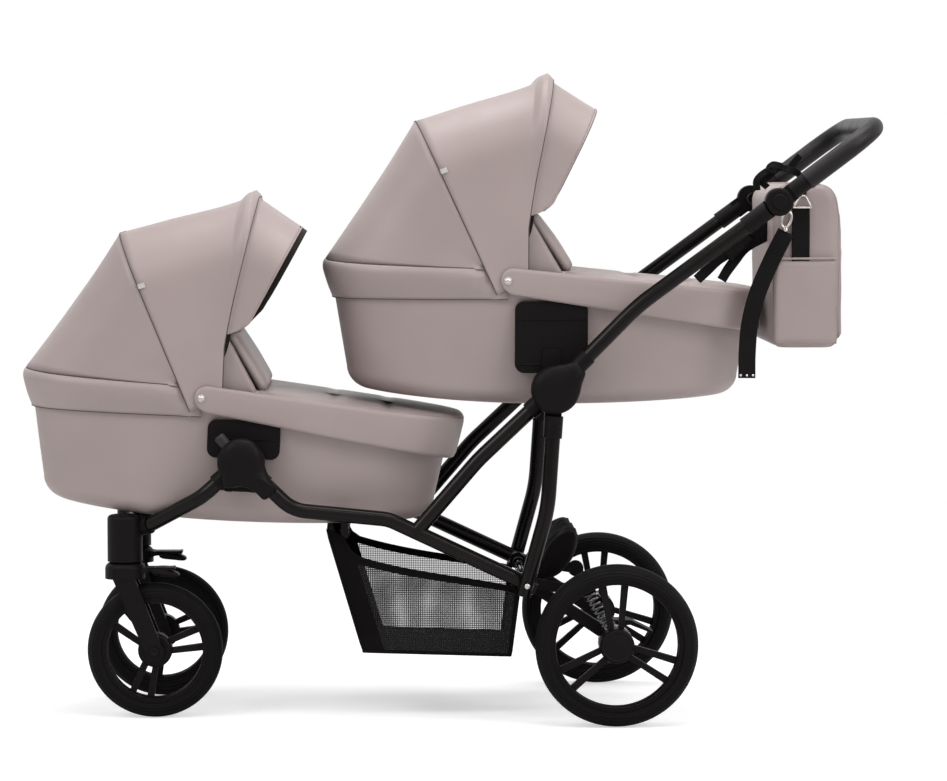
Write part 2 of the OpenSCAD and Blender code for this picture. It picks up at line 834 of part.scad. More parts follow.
module fold_covers() {
    color(plastic_black) both() difference() {
        union() {
            hub_disc(fold_at, cover_r, cover_in, cover_out, cover_round);
            rod(at_y(fold_at + neck_from * handle_low_dir, handle_y), at_y(fold_at + neck_to * handle_low_dir, handle_y), neck_r);
        }
        cross_bar(fold_at, fold_pin_r + run_fit, cover_in - overrun, fold_pin_end + run_fit);
        rod(handle_path[0], handle_path[1], tube_r + run_fit);
        side_plate(0, cover_in) translate(fold_at) circle(cover_r + overrun);
    }
}

module tilt_housings() {
    color(plastic_black) both() difference() {
        union() {
            rod(at_y(tilt_at - sleeve_len * handle_top_dir, handle_y), at_y(tilt_at - (sleeve_end - overrun) * handle_top_dir, handle_y), sleeve_r);
            hub_disc(tilt_at, tilt_r, tilt_in, tilt_mid, tilt_round / 5);
            cross_bar(tilt_at, tilt_pin_r, tilt_in, tilt_pin_end);
            cross_bar(tilt_at, peg_r, peg_in, tilt_in + overrun);
            side_plate(tilt_in, tilt_mid) polygon([
                tilt_at - sleeve_len / 2 * handle_top_dir + sleeve_r * [-handle_top_dir[1], handle_top_dir[0]],
                tilt_at - sleeve_len / 2 * handle_top_dir - sleeve_r * [-handle_top_dir[1], handle_top_dir[0]],
                tilt_at - sleeve_r * [-handle_top_dir[1], handle_top_dir[0]],
                tilt_at + sleeve_r * [-handle_top_dir[1], handle_top_dir[0]]
            ]);
        }
        rod(handle_path[1], handle_path[2], tube_r + run_fit);
        side_plate(tilt_mid, tilt_out + sleeve_r) difference() {
            translate(tilt_at) circle(tilt_r + overrun);
            translate(tilt_at) circle(tilt_pin_r);
        }
    }
}

grip_path = [
    at_y(tilt_at + arm_from * grip_dir, -handle_y), at_y(grip_at, -handle_y),
    at_y(grip_at, handle_y), at_y(tilt_at + arm_from * grip_dir, handle_y)
];
grip_sleeve_path = [
    at_y(tilt_at + arm_collar_to * grip_dir, -handle_y), grip_path[1], grip_path[2],
    at_y(tilt_at + arm_collar_to * grip_dir, handle_y)
];

module grip_bar() {
    color(plastic_black) {
        bent_bar(grip_path, grip_bend, bar_r);
        both() difference() {
            union() {
                hub_disc(tilt_at, tilt_r, tilt_mid + seat_gap, tilt_out, tilt_round);
                side_plate(tilt_mid + seat_gap, tilt_out - tilt_round) polygon([
                    tilt_at + neck_r * [-grip_dir[1], grip_dir[0]], tilt_at - neck_r * [-grip_dir[1], grip_dir[0]],
                    tilt_at + arm_from * grip_dir - neck_r * [-grip_dir[1], grip_dir[0]],
                    tilt_at + arm_from * grip_dir + neck_r * [-grip_dir[1], grip_dir[0]]
                ]);
                rod(at_y(tilt_at + (arm_from - overrun) * grip_dir, handle_y), at_y(tilt_at + (arm_collar_to - seat_gap) * grip_dir, handle_y), neck_r);
            }
            cross_bar(tilt_at, tilt_pin_r + run_fit, tilt_mid - overrun, tilt_pin_end + run_fit);
            cross_bar(tilt_at, button_r + run_fit, button_rest - button_travel, tilt_out + overrun);
        }
    }
}

module grip_sleeve() {
    color(plastic_black) difference() {
        bent_bar(grip_sleeve_path, grip_bend, sleeve_grip_r);
        bent_bar(grip_path, grip_bend, bar_r + run_fit);
    }
}

module tilt_button(side) {
    color(plastic_black) on_side(side) hub_disc(tilt_at, button_r, button_rest, button_out, tilt_round / 2);
}

// Handle bag, which hangs from the two pegs inside the tilt joints
bag_front = 573;
bag_bottom = 670;
bag_sides = 32;
strap_w = 29;
strap_t = 2.2;
loop_gap = 0.4;
strap_lean = 1.2;
strap_in = bag_w / 2 - strap_lean;
tail_share = 0.6;
ring_at = [597, 897];
ring_r = 12;
ring_wire = 2.2;
ring_y = strap_in + strap_t + ring_wire + seat_gap;
hang_lean = 5;
hang_top = [ring_at[0] - hang_lean, ring_at[1] - ring_r - ring_wire - seat_gap];
hang_foot = [529, 612];
bag_plan_n = 6;
bag_side_n = 9;
bag_mid = [bag_front + bag_d / 2, bag_bottom + bag_h / 2];

function super(c, n) = sign(c) * pow(abs(c), 2 / n);

function bag_ring(level_share, size_share) = [
    for (k = [0:bag_sides - 1])
        let (a = 360 * (k + 0.5) / bag_sides)
        [
            bag_mid[0] + bag_d / 2 * size_share * super(cos(a), bag_plan_n),
            bag_w / 2 * size_share * super(sin(a), bag_side_n),
            bag_bottom + bag_h * level_share
        ]
];

bag_level_shares = [0, 0.02, 0.08, 0.5, 0.86, 0.96, 1];
bag_size_shares = [0.86, 0.95, 0.985, 1, 0.985, 0.94, 0.82];

module bag_body() {
    color(taupe) skin([for (i = [0:len(bag_level_shares) - 1]) bag_ring(bag_level_shares[i], bag_size_shares[i])]);
}

module bag_straps() {
    tail_z = bag_bottom + bag_h * tail_share;
    color(lining_black) {
        both() {
            side_plate(strap_in, strap_in + strap_w / 2) difference() {
                translate(tilt_at) circle(peg_r + loop_gap + strap_t);
                translate(tilt_at) circle(peg_r + loop_gap);
            }
            side_plate(strap_in, strap_in + strap_t) polygon([
                tilt_at - [peg_r, peg_r + loop_gap], tilt_at - [-peg_r, peg_r + loop_gap],
                [bag_front + strap_w, tail_z], [bag_front, tail_z]
            ]);
        }
        on_side(left) side_plate(ring_y - strap_t / 2, ring_y + strap_t / 2) polygon([
            hang_top, hang_top + [strap_w, 0], hang_foot + [strap_w, 0], hang_foot
        ]);
    }
}

module bag_clips() {
    color(steel) both() translate(at_y(ring_at, ring_y))
        along_y() rotate_extrude() translate([ring_r, 0]) circle(ring_wire);
}

// Carrycot tub, drawn in the carrycot's own frame with the hood pivot at the origin
plan_n = 3.4;
plan_sides = 48;
cot_mid = 80;
tub_top_head = 298;
tub_top_foot = 472;
tub_top_half = 197;
tub_low_head = 268;
tub_low_foot = 446;
tub_low_half = 166;
rim_head_z = 44;
rim_fall_share = 0.1;
belly_at = 100;
belly_head_rise = 30;
belly_foot_rise = 16;
floor_t = 12;

function plan_point(a, head, foot, half) =
    let (c = cos(a))
    [cot_mid + (c < 0 ? head + cot_mid : foot - cot_mid) * super(c, plan_n), half * super(sin(a), plan_n)];

function rim_z(x) = rim_head_z - max(0, x) * rim_fall_share;
function belly_z(x) =
    x < belly_at ? -cot_depth + belly_head_rise * pow((belly_at - x) / (belly_at + tub_low_head), 2) :
    -cot_depth + belly_foot_rise * pow((x - belly_at) / (tub_low_foot - belly_at), 2);

// One ring of the tub: s is 0 at the floor and 1 at the rim, cut in by an inset and lifted by a height
function tub_ring(s, inset, lift) = [
    for (k = [0:plan_sides - 1])
        let (
            a = 360 * k / plan_sides,
            low = plan_point(a, tub_low_head - inset, tub_low_foot - inset, tub_low_half - inset),
            top = plan_point(a, tub_top_head - inset, tub_top_foot - inset, tub_top_half - inset),
            p = mix(low, top, s)
        )
        [p[0], p[1], mix(belly_z(low[0]) + lift, rim_z(top[0]), s)]
];

corner_inset_shares = [1, 0.45, 0.12, 0];
corner_rise_shares = [0, 0.12, 0.45, 1];
tub_corner = 34;

module tub(which) {
    outer = [for (i = [0:3]) tub_ring(0, tub_corner * corner_inset_shares[i], tub_corner * corner_rise_shares[i])];
    inner = [for (i = [3:-1:0]) tub_ring(0, tub_wall + tub_corner * corner_inset_shares[i], floor_t + tub_corner * corner_rise_shares[i])];
    color(taupe) cot_place(which) skin(concat(
        outer, [tub_ring(1, 0, 0), tub_ring(1, tub_wall, 0)], inner
    ));
}

// Collar: a padded band round the head half of the rim
collar_end = -6;
collar_z0 = -6;
collar_z1 = 58;
collar_swell = cot_w / 2 - tub_top_half;
collar_stations = 32;
collar_out_shares = [0.04, 0.7, 1, 0.9, 0.5, 0.04];
collar_up_shares = [0, 0.06, 0.45, 0.75, 1, 0.97];

function collar_ring(k) =
    let (
        first = acos(-pow((cot_mid - collar_end) / (cot_mid + tub_top_head), plan_n / 2)),
        a = mix(first, 360 - first, k / collar_stations)
    )
    [
        for (i = [5:-1:0])
            let (out = collar_swell * collar_out_shares[i], p = plan_point(a, tub_top_head + out, tub_top_foot, tub_top_half + out))
            [p[0], p[1], mix(collar_z0, collar_z1, collar_up_shares[i])]
    ];

module collar(which) {
    color(taupe) cot_place(which) skin([for (k = [0:collar_stations]) collar_ring(k)]);
}

// Mattress, with a crowned top and drawn-in sides
mattress_gap = 0.9;
mattress_in_share = 0.7;
mattress_h = 52;
mattress_size_shares = [0.94, 0.985, 1, 0.985, 0.9, 0.6, 0.25];
mattress_up_shares = [0, 0.1, 0.45, 0.78, 0.94, 1, 1.03];

module mattress(which) {
    color(lining_black) cot_place(which) skin([
        for (i = [0:len(mattress_size_shares) - 1]) [
            for (k = [0:plan_sides - 1])
                let (
                    inset = tub_corner * mattress_in_share + tub_wall,
                    p = plan_point(360 * k / plan_sides, tub_low_head - inset, tub_low_foot - inset, tub_low_half - inset),
                    x = mix(cot_mid, p[0], mattress_size_shares[i])
                )
                [x, p[1] * mattress_size_shares[i], belly_z(p[0]) + floor_t + mattress_gap + mattress_h * mattress_up_shares[i]]
        ]
    ]);
}

// Apron over the foot half: a padded cover with a skirt, two cross channels, side tabs and a wind flap
apron_tab = 8;
apron_mouth = 118;
apron_t = 8;
apron_play = 3;
apron_half = cot_w / 2 - apron_play;
apron_top_z = rim_head_z + seat_gap + apron_t;
skirt_z = 4;
skirt_fall_share = 0.158;
apron_crown = 11;
apron_arc = 44;
apron_edge = 14;
apron_in = 110;
apron_round = 8;
skirt_t = 6.5;
mouth_step = 0.8;
mouth_hem = 0.2;
cover_shares = [0.2, 0.45, 0.7, 0.9];
channel_x_shares = [0.5, 0.72];
channel_w = 16;
channel_depth = 5;
apron_count = apron_arc + apron_edge;
flap_top = [70, 140];
flap_foot = [124, 47];
flap_t = 12;
flap_half = 160;

function apron_z(x) = apron_top_z - x * rim_fall_share;
function skirt_bottom(x) = skirt_z - x * skirt_fall_share;
function channel(x) = -channel_depth * max([for (s = channel_x_shares) exp(-pow((x - s * cot_foot) / channel_w, 2))]);

// Outline of the cover: round the foot from side to side, then straight back across the mouth
function apron_plan(k, inset) =
    let (
        reach = acos(pow((apron_mouth - cot_mid) / (cot_foot - cot_mid), plan_n / 2)),
        p = plan_point(mix(-reach, reach, min(k, apron_arc) / apron_arc), cot_head, cot_foot - inset, apron_half - inset),
        x = max(p[0], apron_mouth + inset)
    )
    k <= apron_arc ? [x, p[1]] : [x, mix(1, -1, (k - apron_arc - 1) / (apron_edge - 2)) * (apron_half - apron_t - mouth_step)];

function apron_rim(inset, drop) = [
    for (k = [0:apron_count - 1]) let (p = apron_plan(k, inset)) [p[0], p[1], apron_z(p[0]) - drop]
];

function apron_skirt(inset) = [
    for (k = [0:apron_count - 1])
        let (p = apron_plan(k, inset))
        [p[0], p[1], k <= apron_arc ? skirt_bottom(p[0]) : apron_z(p[0]) - apron_t - mouth_hem]
];

// A ring of the cover that has shrunk by a share towards the middle line, and swells with that share
function apron_cover(share, inset, drop, swell) = [
    for (k = [0:apron_count - 1])
        let (
            p = apron_plan(k, inset),
            q = mix(p, [mix(p[0], (apron_mouth + cot_foot) / 2, apron_in / (cot_foot - apron_mouth) * 2), 0], share)
        )
        [q[0], q[1], apron_z(q[0]) - drop + swell * sin(90 * share) * (apron_crown + channel(q[0]))]
];

module apron(which) {
    aside = flap_t / 2 * unit([flap_top[1] - flap_foot[1], flap_foot[0] - flap_top[0]]);
    tab_end = apron_mouth - seat_gap;
    color(taupe) cot_place(which) {
        skin(concat(
            [apron_cover(last(cover_shares), skirt_t, apron_t, 0), apron_rim(skirt_t, apron_t)],
            [apron_skirt(skirt_t), apron_skirt(0), apron_rim(0, apron_round)],
            [apron_rim(apron_round / 2, 0)],
            [for (s = cover_shares) apron_cover(s, apron_round / 2, 0, 1)]
        ));
        both() side_plate(apron_half - apron_t, apron_half) polygon([
            [apron_tab, skirt_bottom(apron_tab)], [tab_end, skirt_bottom(tab_end)],
            [tab_end, apron_z(tab_end) - apron_round], [apron_tab, apron_z(apron_tab) - apron_round]
        ]);
        side_plate(-flap_half, flap_half)
            polygon([flap_top + aside, flap_foot + aside, flap_foot - aside, flap_top - aside]);
    }
}

// Side panels that take the adapters
module rounded_square(x0, z0, x1, z1, round) {
    translate([x0 + round, z0]) square([x1 - x0 - 2 * round, z1 - z0]);
    translate([x0, z0 + round]) square([x1 - x0, z1 - z0 - 2 * round]);
    for (x = [x0 + round, x1 - round], z = [z0 + round, z1 - round]) translate([x, z]) circle(round);
}

// Half width of the tub's straight side at a place, over a foot that is lifted above its belly
function tub_y(x, z, lift) =
    let (low = belly_z(x) + lift)
    mix(tub_low_half, tub_top_half, (z - low) / (rim_z(x) - low));

function wall_y(z) = seat_gap + max([for (x = [panel_x0, belly_at, panel_x1]) tub_y(x, z, tub_corner)]);

module panel_outline(which) {
    rounded_square(panel_x0, which == front ? front_panel_z0 : panel_z0, panel_x1, panel_z1, panel_round);
    if (which == front) rounded_square(front_stem_x0, panel_z0, front_stem_x1, panel_z1 - panel_round, panel_round);
}

module adapters(which) {
    color(plastic_black) cot_place(which) both() difference() {
        intersection() {
            side_plate(tub_low_half, panel_out) panel_outline(which);
            translate([panel_x0, 0, 0]) rotate([90, 0, 90]) linear_extrude(panel_x1 - panel_x0) polygon([
                [wall_y(panel_z0), panel_z0], [panel_out, panel_z0], [panel_out, panel_z1], [wall_y(panel_z1), panel_z1]
            ]);
        }
        translate([groove_x - slot_w / 2, panel_out - groove_depth, panel_z0 - overrun])
            cube([slot_w, groove_depth + overrun, groove_top - panel_z0 + overrun]);
    }
}

// Hood
hood_play = 7;
hood_half = cot_w / 2 - hood_play;
hood_round = 118;
bow_inset = 12;
bow_r = 6;
mid_top = [-143, 310];
front_top = [95, hood_h];
front_knee = [57, 110];
rim_start = [-12, 59.5];
rim_reach = 306;
rim_end_z = 62;
hood_sides = 32;
hood_steps = 4;
hood_sag = 6;
bow_bend = hood_round - bow_inset;
visor_low = 144;
visor_foot = 37;
visor_reach = 88;
visor_drop = 62;
visor_lift = 14;
rim_s0_share = 0.004;
mid_s0_share = 0.07;
front_s0_share = 0.055;
visor_s0_share = 0.132;
hood_part_share = 0.004;
knee_share = 0.3;

// A point of an arch of half width w and height h with corners of radius r, at a share s of its length: [y, height]
function arch(s, w, h, r) =
    s > 0.5 ? let (p = arch(1 - s, w, h, r)) [-p[0], p[1]] :
    let (
        quarter = r * PI / 2,
        d = 2 * s * (h - r + quarter + w - r)
    )
    d < h - r ? [-w, d] :
    d < h - r + quarter ? let (a = (d - h + r) / r * 180 / PI) [-w + r - r * cos(a), h - r + r * sin(a)] :
    [-w + r + d - (h - r + quarter), h];

// The hood's three edges, each at a share s of its arch and an inset from the outer face
function rim_edge(s, inset) =
    let (
        first = acos(-pow((cot_mid - rim_start[0]) / (cot_mid + rim_reach), plan_n / 2)),
        a = mix(360 - first, first, s),
        p = plan_point(a, rim_reach - inset, tub_top_foot, hood_half - inset)
    )
    [p[0], p[1], mix(rim_start[1], rim_end_z, pow(abs(cos(a)), 2))];

function mid_edge(s, inset) =
    let (p = arch(s, hood_half - inset, norm(mid_top) - inset, hood_round - inset), t = p[1] / norm(mid_top))
    [mid_top[0] * t, p[0], mid_top[1] * t];

function front_edge(s, inset) =
    let (p = arch(s, hood_half - inset, hood_h - inset, hood_round - inset), t = p[1] / hood_h)
    [mix(front_knee[0], front_top[0], max(0, t - knee_share) / (1 - knee_share)), p[0], max(rim_start[1], p[1])];

function visor_edge(s, inset) =
    let (
        p = front_edge(s, inset),
        t = max(0, (p[2] - visor_low) / (hood_h - visor_low))
    )
    [p[0] + mix(visor_foot, visor_reach, t), p[1], p[2] + mix(visor_lift, -visor_drop, t)];

// A strip of cloth between two edges, as rings round its thickness
function strip_point(kind, j, v, inset) =
    let (
        rim_s = mix(rim_s0_share, 1 - rim_s0_share, j / hood_sides),
        mid_s = mix(mid_s0_share, 1 - mid_s0_share, j / hood_sides),
        front_s = mix(front_s0_share, 1 - front_s0_share, j / hood_sides),
        visor_s = mix(visor_s0_share, 1 - visor_s0_share, j / hood_sides)
    )
    kind == "back" ? mix(rim_edge(rim_s, inset), mid_edge(mid_s, inset), v) :
    kind == "top" ? mix(mid_edge(mid_s, inset), front_edge(front_s, inset), v) :
    mix(front_edge(visor_s, inset), visor_edge(visor_s, inset), v);

function strip_ring(kind, v, sag) = concat(
    [for (j = [0:hood_sides]) strip_point(kind, j, v, sag * sin(180 * v))],
    [for (j = [hood_sides:-1:0]) strip_point(kind, j, v, sag * sin(180 * v) + hood_cloth)]
);

module strip(kind, v0, v1, sag) {
    skin([for (i = [0:hood_steps]) strip_ring(kind, mix(v0, v1, i / hood_steps), sag)], true);
}

module hood_back(which) { color(taupe) cot_place(which) strip("back", hood_part_share, 1 - hood_part_share, hood_sag); }
module hood_top(which) { color(taupe) cot_place(which) strip("top", hood_part_share, 1 - hood_part_share, hood_sag); }
module visor(which) { color(taupe) cot_place(which) strip("visor", hood_part_share, 1, 0); }

// Bows that carry the hood, each with a flat eye that turns on a pin inside the tub wall
bow_pin_r = 4;
bow_eye_r = 9;
bow_eye_t = 4;
bow_eye_w = 9;
bow_from = 30;
mid_eye_y = 167;
eye_gap = 0.5;
front_eye_y = mid_eye_y + bow_eye_t + eye_gap;

module bow(top, knee, eye_y) {
    half = hood_half - bow_inset;
    apex = top - unit(top) * bow_inset;
    dir = unit(knee == undef ? apex : knee);
    foot = bow_from * dir;
    aside = bow_eye_w / 2 * [-dir[1], dir[0]];
    mid = eye_y + bow_eye_t / 2;
    path = concat(
        [at_y(foot, -mid)], knee == undef ? [] : [at_y(knee, -half)],
        [at_y(apex, -half), at_y(apex, half)],
        knee == undef ? [] : [at_y(knee, half)], [at_y(foot, mid)]
    );
    color(satin_black) difference() {
        union() {
            bent_bar(path, bow_bend, bow_r);
            both() side_plate(eye_y, eye_y + bow_eye_t) {
                circle(bow_eye_r);
                polygon([aside, -aside, foot + dir * bow_eye_w - aside, foot + dir * bow_eye_w + aside]);
            }
        }
        both() cross_bar([0, 0], bow_pin_r + run_fit, eye_y - bow_eye_r, eye_y + bow_eye_r);
    }
}

module mid_bow(which) { cot_place(which) bow(mid_top, undef, mid_eye_y); }
module front_bow(which) { cot_place(which) bow(front_top, front_knee, front_eye_y); }

// Pins and snaps
snap_at = [20, 25];
snap_r = 6;
snap_t = 2;
pin_clear = 1.5;

module fittings(which) {
    color(steel) cot_place(which) both() {
        cross_bar(snap_at, snap_r, apron_half + seat_gap, apron_half + seat_gap + snap_t);
        cross_bar([0, 0], bow_pin_r, mid_eye_y - bow_eye_t, tub_y(0, 0, floor_t + tub_corner) - tub_wall - pin_clear);
    }
}

lower_rails();
front_tubes();
front_hubs();
rear_legs();
diagonals();
rear_hubs();
cross_tubes();
swivel_housings();
spring_brackets();
frame_bolts();
basket();
springs();
swing_arms();
axle_tube();
brake_pedal();
rear_tyre(left);  // left_rear_tyre
rear_tyre(right);  // right_rear_tyre
rear_rim(left);  // left_rear_rim
rear_rim(right);  // right_rear_rim
fork(left);  // left_fork
fork(right);  // right_fork
swivel_lock(left);  // left_swivel_lock
swivel_lock(right);  // right_swivel_lock
front_tyre(left);  // left_front_tyre
front_tyre(right);  // right_front_tyre
front_rim(left);  // left_front_rim
front_rim(right);  // right_front_rim
handle_tubes();
fold_covers();
tilt_housings();
grip_bar();
grip_sleeve();
tilt_button(left);  // left_tilt_button
tilt_button(right);  // right_tilt_button
bag_body();
bag_straps();
bag_clips();
tub(front);  // front_tub
collar(front);  // front_collar
mattress(front);  // front_mattress
apron(front);  // front_apron
adapters(front);  // front_adapters
fittings(front);  // front_fittings
mid_bow(front);  // front_mid_bow
front_bow(front);  // front_front_bow
hood_back(front);  // front_hood_back
hood_top(front);  // front_hood_top
visor(front);  // front_visor
tub(rear);  // rear_tub
collar(rear);  // rear_collar
mattress(rear);  // rear_mattress
apron(rear);  // rear_apron
adapters(rear);  // rear_adapters
fittings(rear);  // rear_fittings
mid_bow(rear);  // rear_mid_bow
front_bow(rear);  // rear_front_bow
hood_back(rear);  // rear_hood_back
hood_top(rear);  // rear_hood_top
visor(rear);  // rear_visor
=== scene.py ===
import math

import bmesh
import bpy
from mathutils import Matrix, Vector, noise


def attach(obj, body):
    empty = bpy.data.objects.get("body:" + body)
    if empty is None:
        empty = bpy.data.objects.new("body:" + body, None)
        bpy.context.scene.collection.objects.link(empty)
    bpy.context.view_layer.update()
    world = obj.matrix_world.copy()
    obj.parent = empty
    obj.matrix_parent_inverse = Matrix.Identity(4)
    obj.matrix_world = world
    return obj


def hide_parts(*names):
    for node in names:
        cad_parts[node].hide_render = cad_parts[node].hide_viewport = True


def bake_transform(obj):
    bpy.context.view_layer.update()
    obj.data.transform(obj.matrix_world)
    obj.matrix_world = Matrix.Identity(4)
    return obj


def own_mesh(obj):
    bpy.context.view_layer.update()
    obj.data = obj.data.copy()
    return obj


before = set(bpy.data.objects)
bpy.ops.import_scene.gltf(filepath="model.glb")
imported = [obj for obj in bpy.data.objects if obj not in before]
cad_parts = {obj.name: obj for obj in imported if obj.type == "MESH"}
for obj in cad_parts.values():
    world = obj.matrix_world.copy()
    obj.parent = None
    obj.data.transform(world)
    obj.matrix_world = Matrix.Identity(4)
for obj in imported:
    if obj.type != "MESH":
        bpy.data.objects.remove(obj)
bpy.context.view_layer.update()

scene = bpy.context.scene
scene.view_settings.view_transform = "Standard"

# Camera, level with the top of the handle and far off to the left side
cameraSet = {"place": (-0.158, -6.937, 1.0218), "lens": 143.82, "down": 3.638, "right": 1.684}


def makeCamera():
    data = bpy.data.cameras.new("photoCamera")
    data.lens = cameraSet["lens"]
    data.sensor_width = 36
    data.clip_end = 100
    cam = bpy.data.objects.new("photoCamera", data)
    scene.collection.objects.link(cam)
    cam.location = cameraSet["place"]
    cam.rotation_euler = (math.radians(90 - cameraSet["down"]), 0, math.radians(-cameraSet["right"]))
    scene.camera = cam


makeCamera()
print("camera ready")

# Shared mesh tools, all in millimetres until a mesh is made

hands = ((-1, "left"), (1, "right"))


def mm(x, y, z):
    return Vector((x, y, z)) / 1000


def mixed(a, b, t):
    return a + (b - a) * t


def smooth(lo, hi, x):
    t = min(1, max(0, (x - lo) / (hi - lo)))
    return t * t * (3 - 2 * t)


def turns(count):
    return [2 * math.pi * k / count for k in range(count)]


def finishMesh(name, bm, materials, outFrom=None):
    bmesh.ops.remove_doubles(bm, verts=bm.verts, dist=1e-6)
    if outFrom is not None:
        bm.normal_update()
        facing = sum(f.calc_area() * f.normal.dot(f.calc_center_median() - outFrom) for f in bm.faces)
        if facing < 0:
            bmesh.ops.reverse_faces(bm, faces=bm.faces)
    mesh = bpy.data.meshes.new(name)
    bm.to_mesh(mesh)
    bm.free()
    for p in mesh.polygons:
        p.use_smooth = True
    obj = bpy.data.objects.new(name, mesh)
    scene.collection.objects.link(obj)
    for m in materials:
        mesh.materials.append(m)
    return obj


# Rows of points become a grid of faces; wrap joins each row's end to its start
def gridMesh(name, rows, materials, wrap=False, endCaps=False, band=None, outFrom=None):
    bm = bmesh.new()
    verts = [[bm.verts.new(p) for p in row] for row in rows]
    columns = len(rows[0])
    for i in range(len(rows) - 1):
        for j in range(columns if wrap else columns - 1):
            k = (j + 1) % columns
            f = bm.faces.new((verts[i][j], verts[i][k], verts[i + 1][k], verts[i + 1][j]))
            if band:
                f.material_index = band(i, j)
    if endCaps:
        low = bm.faces.new(list(reversed(verts[0])))
        high = bm.faces.new(verts[-1])
        if band:
            low.material_index, high.material_index = band(0, 0), band(len(rows) - 2, 0)
    return finishMesh(name, bm, materials, outFrom)


# A round tube along points, whose radius can change with the share along it
def tubeMesh(name, points, radius, materials, sides=10, closed=False):
    points = [Vector(p) for p in points]
    n = len(points)
    rows = []
    side = None
    for i, p in enumerate(points):
        if closed:
            ahead = (points[(i + 1) % n] - points[i - 1]).normalized()
        else:
            ahead = (points[min(i + 1, n - 1)] - points[max(i - 1, 0)]).normalized()
        if side is None:
            side = Vector((0, 0, 1)) if abs(ahead.z) < 0.9 else Vector((1, 0, 0))
        side = (side - ahead * side.dot(ahead)).normalized()
        up = ahead.cross(side)
        r = radius(i / (n - 1)) if callable(radius) else radius
        rows.append([p + side * r * math.cos(a) + up * r * math.sin(a) for a in turns(sides)])
    if closed:
        rows.append(rows[0])
    return gridMesh(name, rows, materials, wrap=True, endCaps=not closed)


# A strap: a flat band with soft edges, along points, with its width along a direction
def strapMesh(name, points, width, thick, across, materials):
    rows = []
    points = [Vector(p) for p in points]
    n = len(points)
    for i, p in enumerate(points):
        ahead = (points[min(i + 1, n - 1)] - points[max(i - 1, 0)]).normalized()
        a = Vector(across(i / (n - 1), ahead) if callable(across) else across)
        a = (a - ahead * a.dot(ahead)).normalized()
        up = ahead.cross(a)
        w, t = width / 2, thick / 2
        shape = [(-w, 0), (-w * 0.96, -t), (-w * 0.8, -t * 0.8), (w * 0.8, -t * 0.8), (w * 0.96, -t),
                 (w, 0), (w * 0.96, t), (w * 0.8, t * 0.8), (-w * 0.8, t * 0.8), (-w * 0.96, t)]
        rows.append([p + a * x + up * y for x, y in shape])
    return gridMesh(name, rows, materials, wrap=True, endCaps=True)


# A turned piece about an axis: profile is a list of (radius, height) in millimetres
def turnedMesh(name, centre, axis, profile, materials, sides=48, caps=True):
    axis = Vector(axis).normalized()
    side = axis.orthogonal().normalized()
    up = axis.cross(side)
    rows = [
        [centre + axis * h / 1000 + (side * math.cos(a) + up * math.sin(a)) * r / 1000 for a in turns(sides)]
        for r, h in profile
    ]
    return gridMesh(name, rows, materials, wrap=True, endCaps=caps, outFrom=centre + axis * profile[0][1] / 1000)


# A stuffed pad: place(u, v) gives its middle point and its outward direction, thick(u, v) its full thickness
def padMesh(name, place, thick, countU, countV, materials, edge=0.12, wrinkle=0.0, grain=9.0):
    bm = bmesh.new()
    sheets = []
    for sign in (1, -1):
        grid = []
        for i in range(countU + 1):
            row = []
            for j in range(countV + 1):
                u, v = i / countU, j / countV
                p, n = place(u, v)
                rim = min(min(u, 1 - u) / edge, min(v, 1 - v) / edge, 1)
                swell = math.sqrt(max(0, 1 - (1 - rim) ** 2))
                bump = wrinkle * noise.noise(p * grain) * swell
                row.append(bm.verts.new(p + n * (sign * thick(u, v) * 0.5 * swell + bump)))
            grid.append(row)
        sheets.append(grid)
        for i in range(countU):
            for j in range(countV):
                quad = (grid[i][j], grid[i + 1][j], grid[i + 1][j + 1], grid[i][j + 1])
                bm.faces.new(quad if sign > 0 else tuple(reversed(quad)))
    bmesh.ops.remove_doubles(bm, verts=bm.verts, dist=1e-5)
    centre = sum((v.co for v in bm.verts), Vector()) / len(bm.verts)
    return finishMesh(name, bm, materials, centre)


def spread(points):
    return sum((b - a).length for a, b in zip(points, points[1:]))


def declareSheet(rows):
    wide = max(spread(row) for row in rows)
    tall = max(spread(column) for column in zip(*rows))


def addSolidify(obj, thick, offset=-1.0, liningSlot=0):
    m = obj.modifiers.new("thickness", "SOLIDIFY")
    m.thickness = thick
    m.offset = offset
    m.material_offset = liningSlot
    m.material_offset_rim = 0


# Every made piece rides on a body
def fasten(obj, body):
    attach(obj, body)


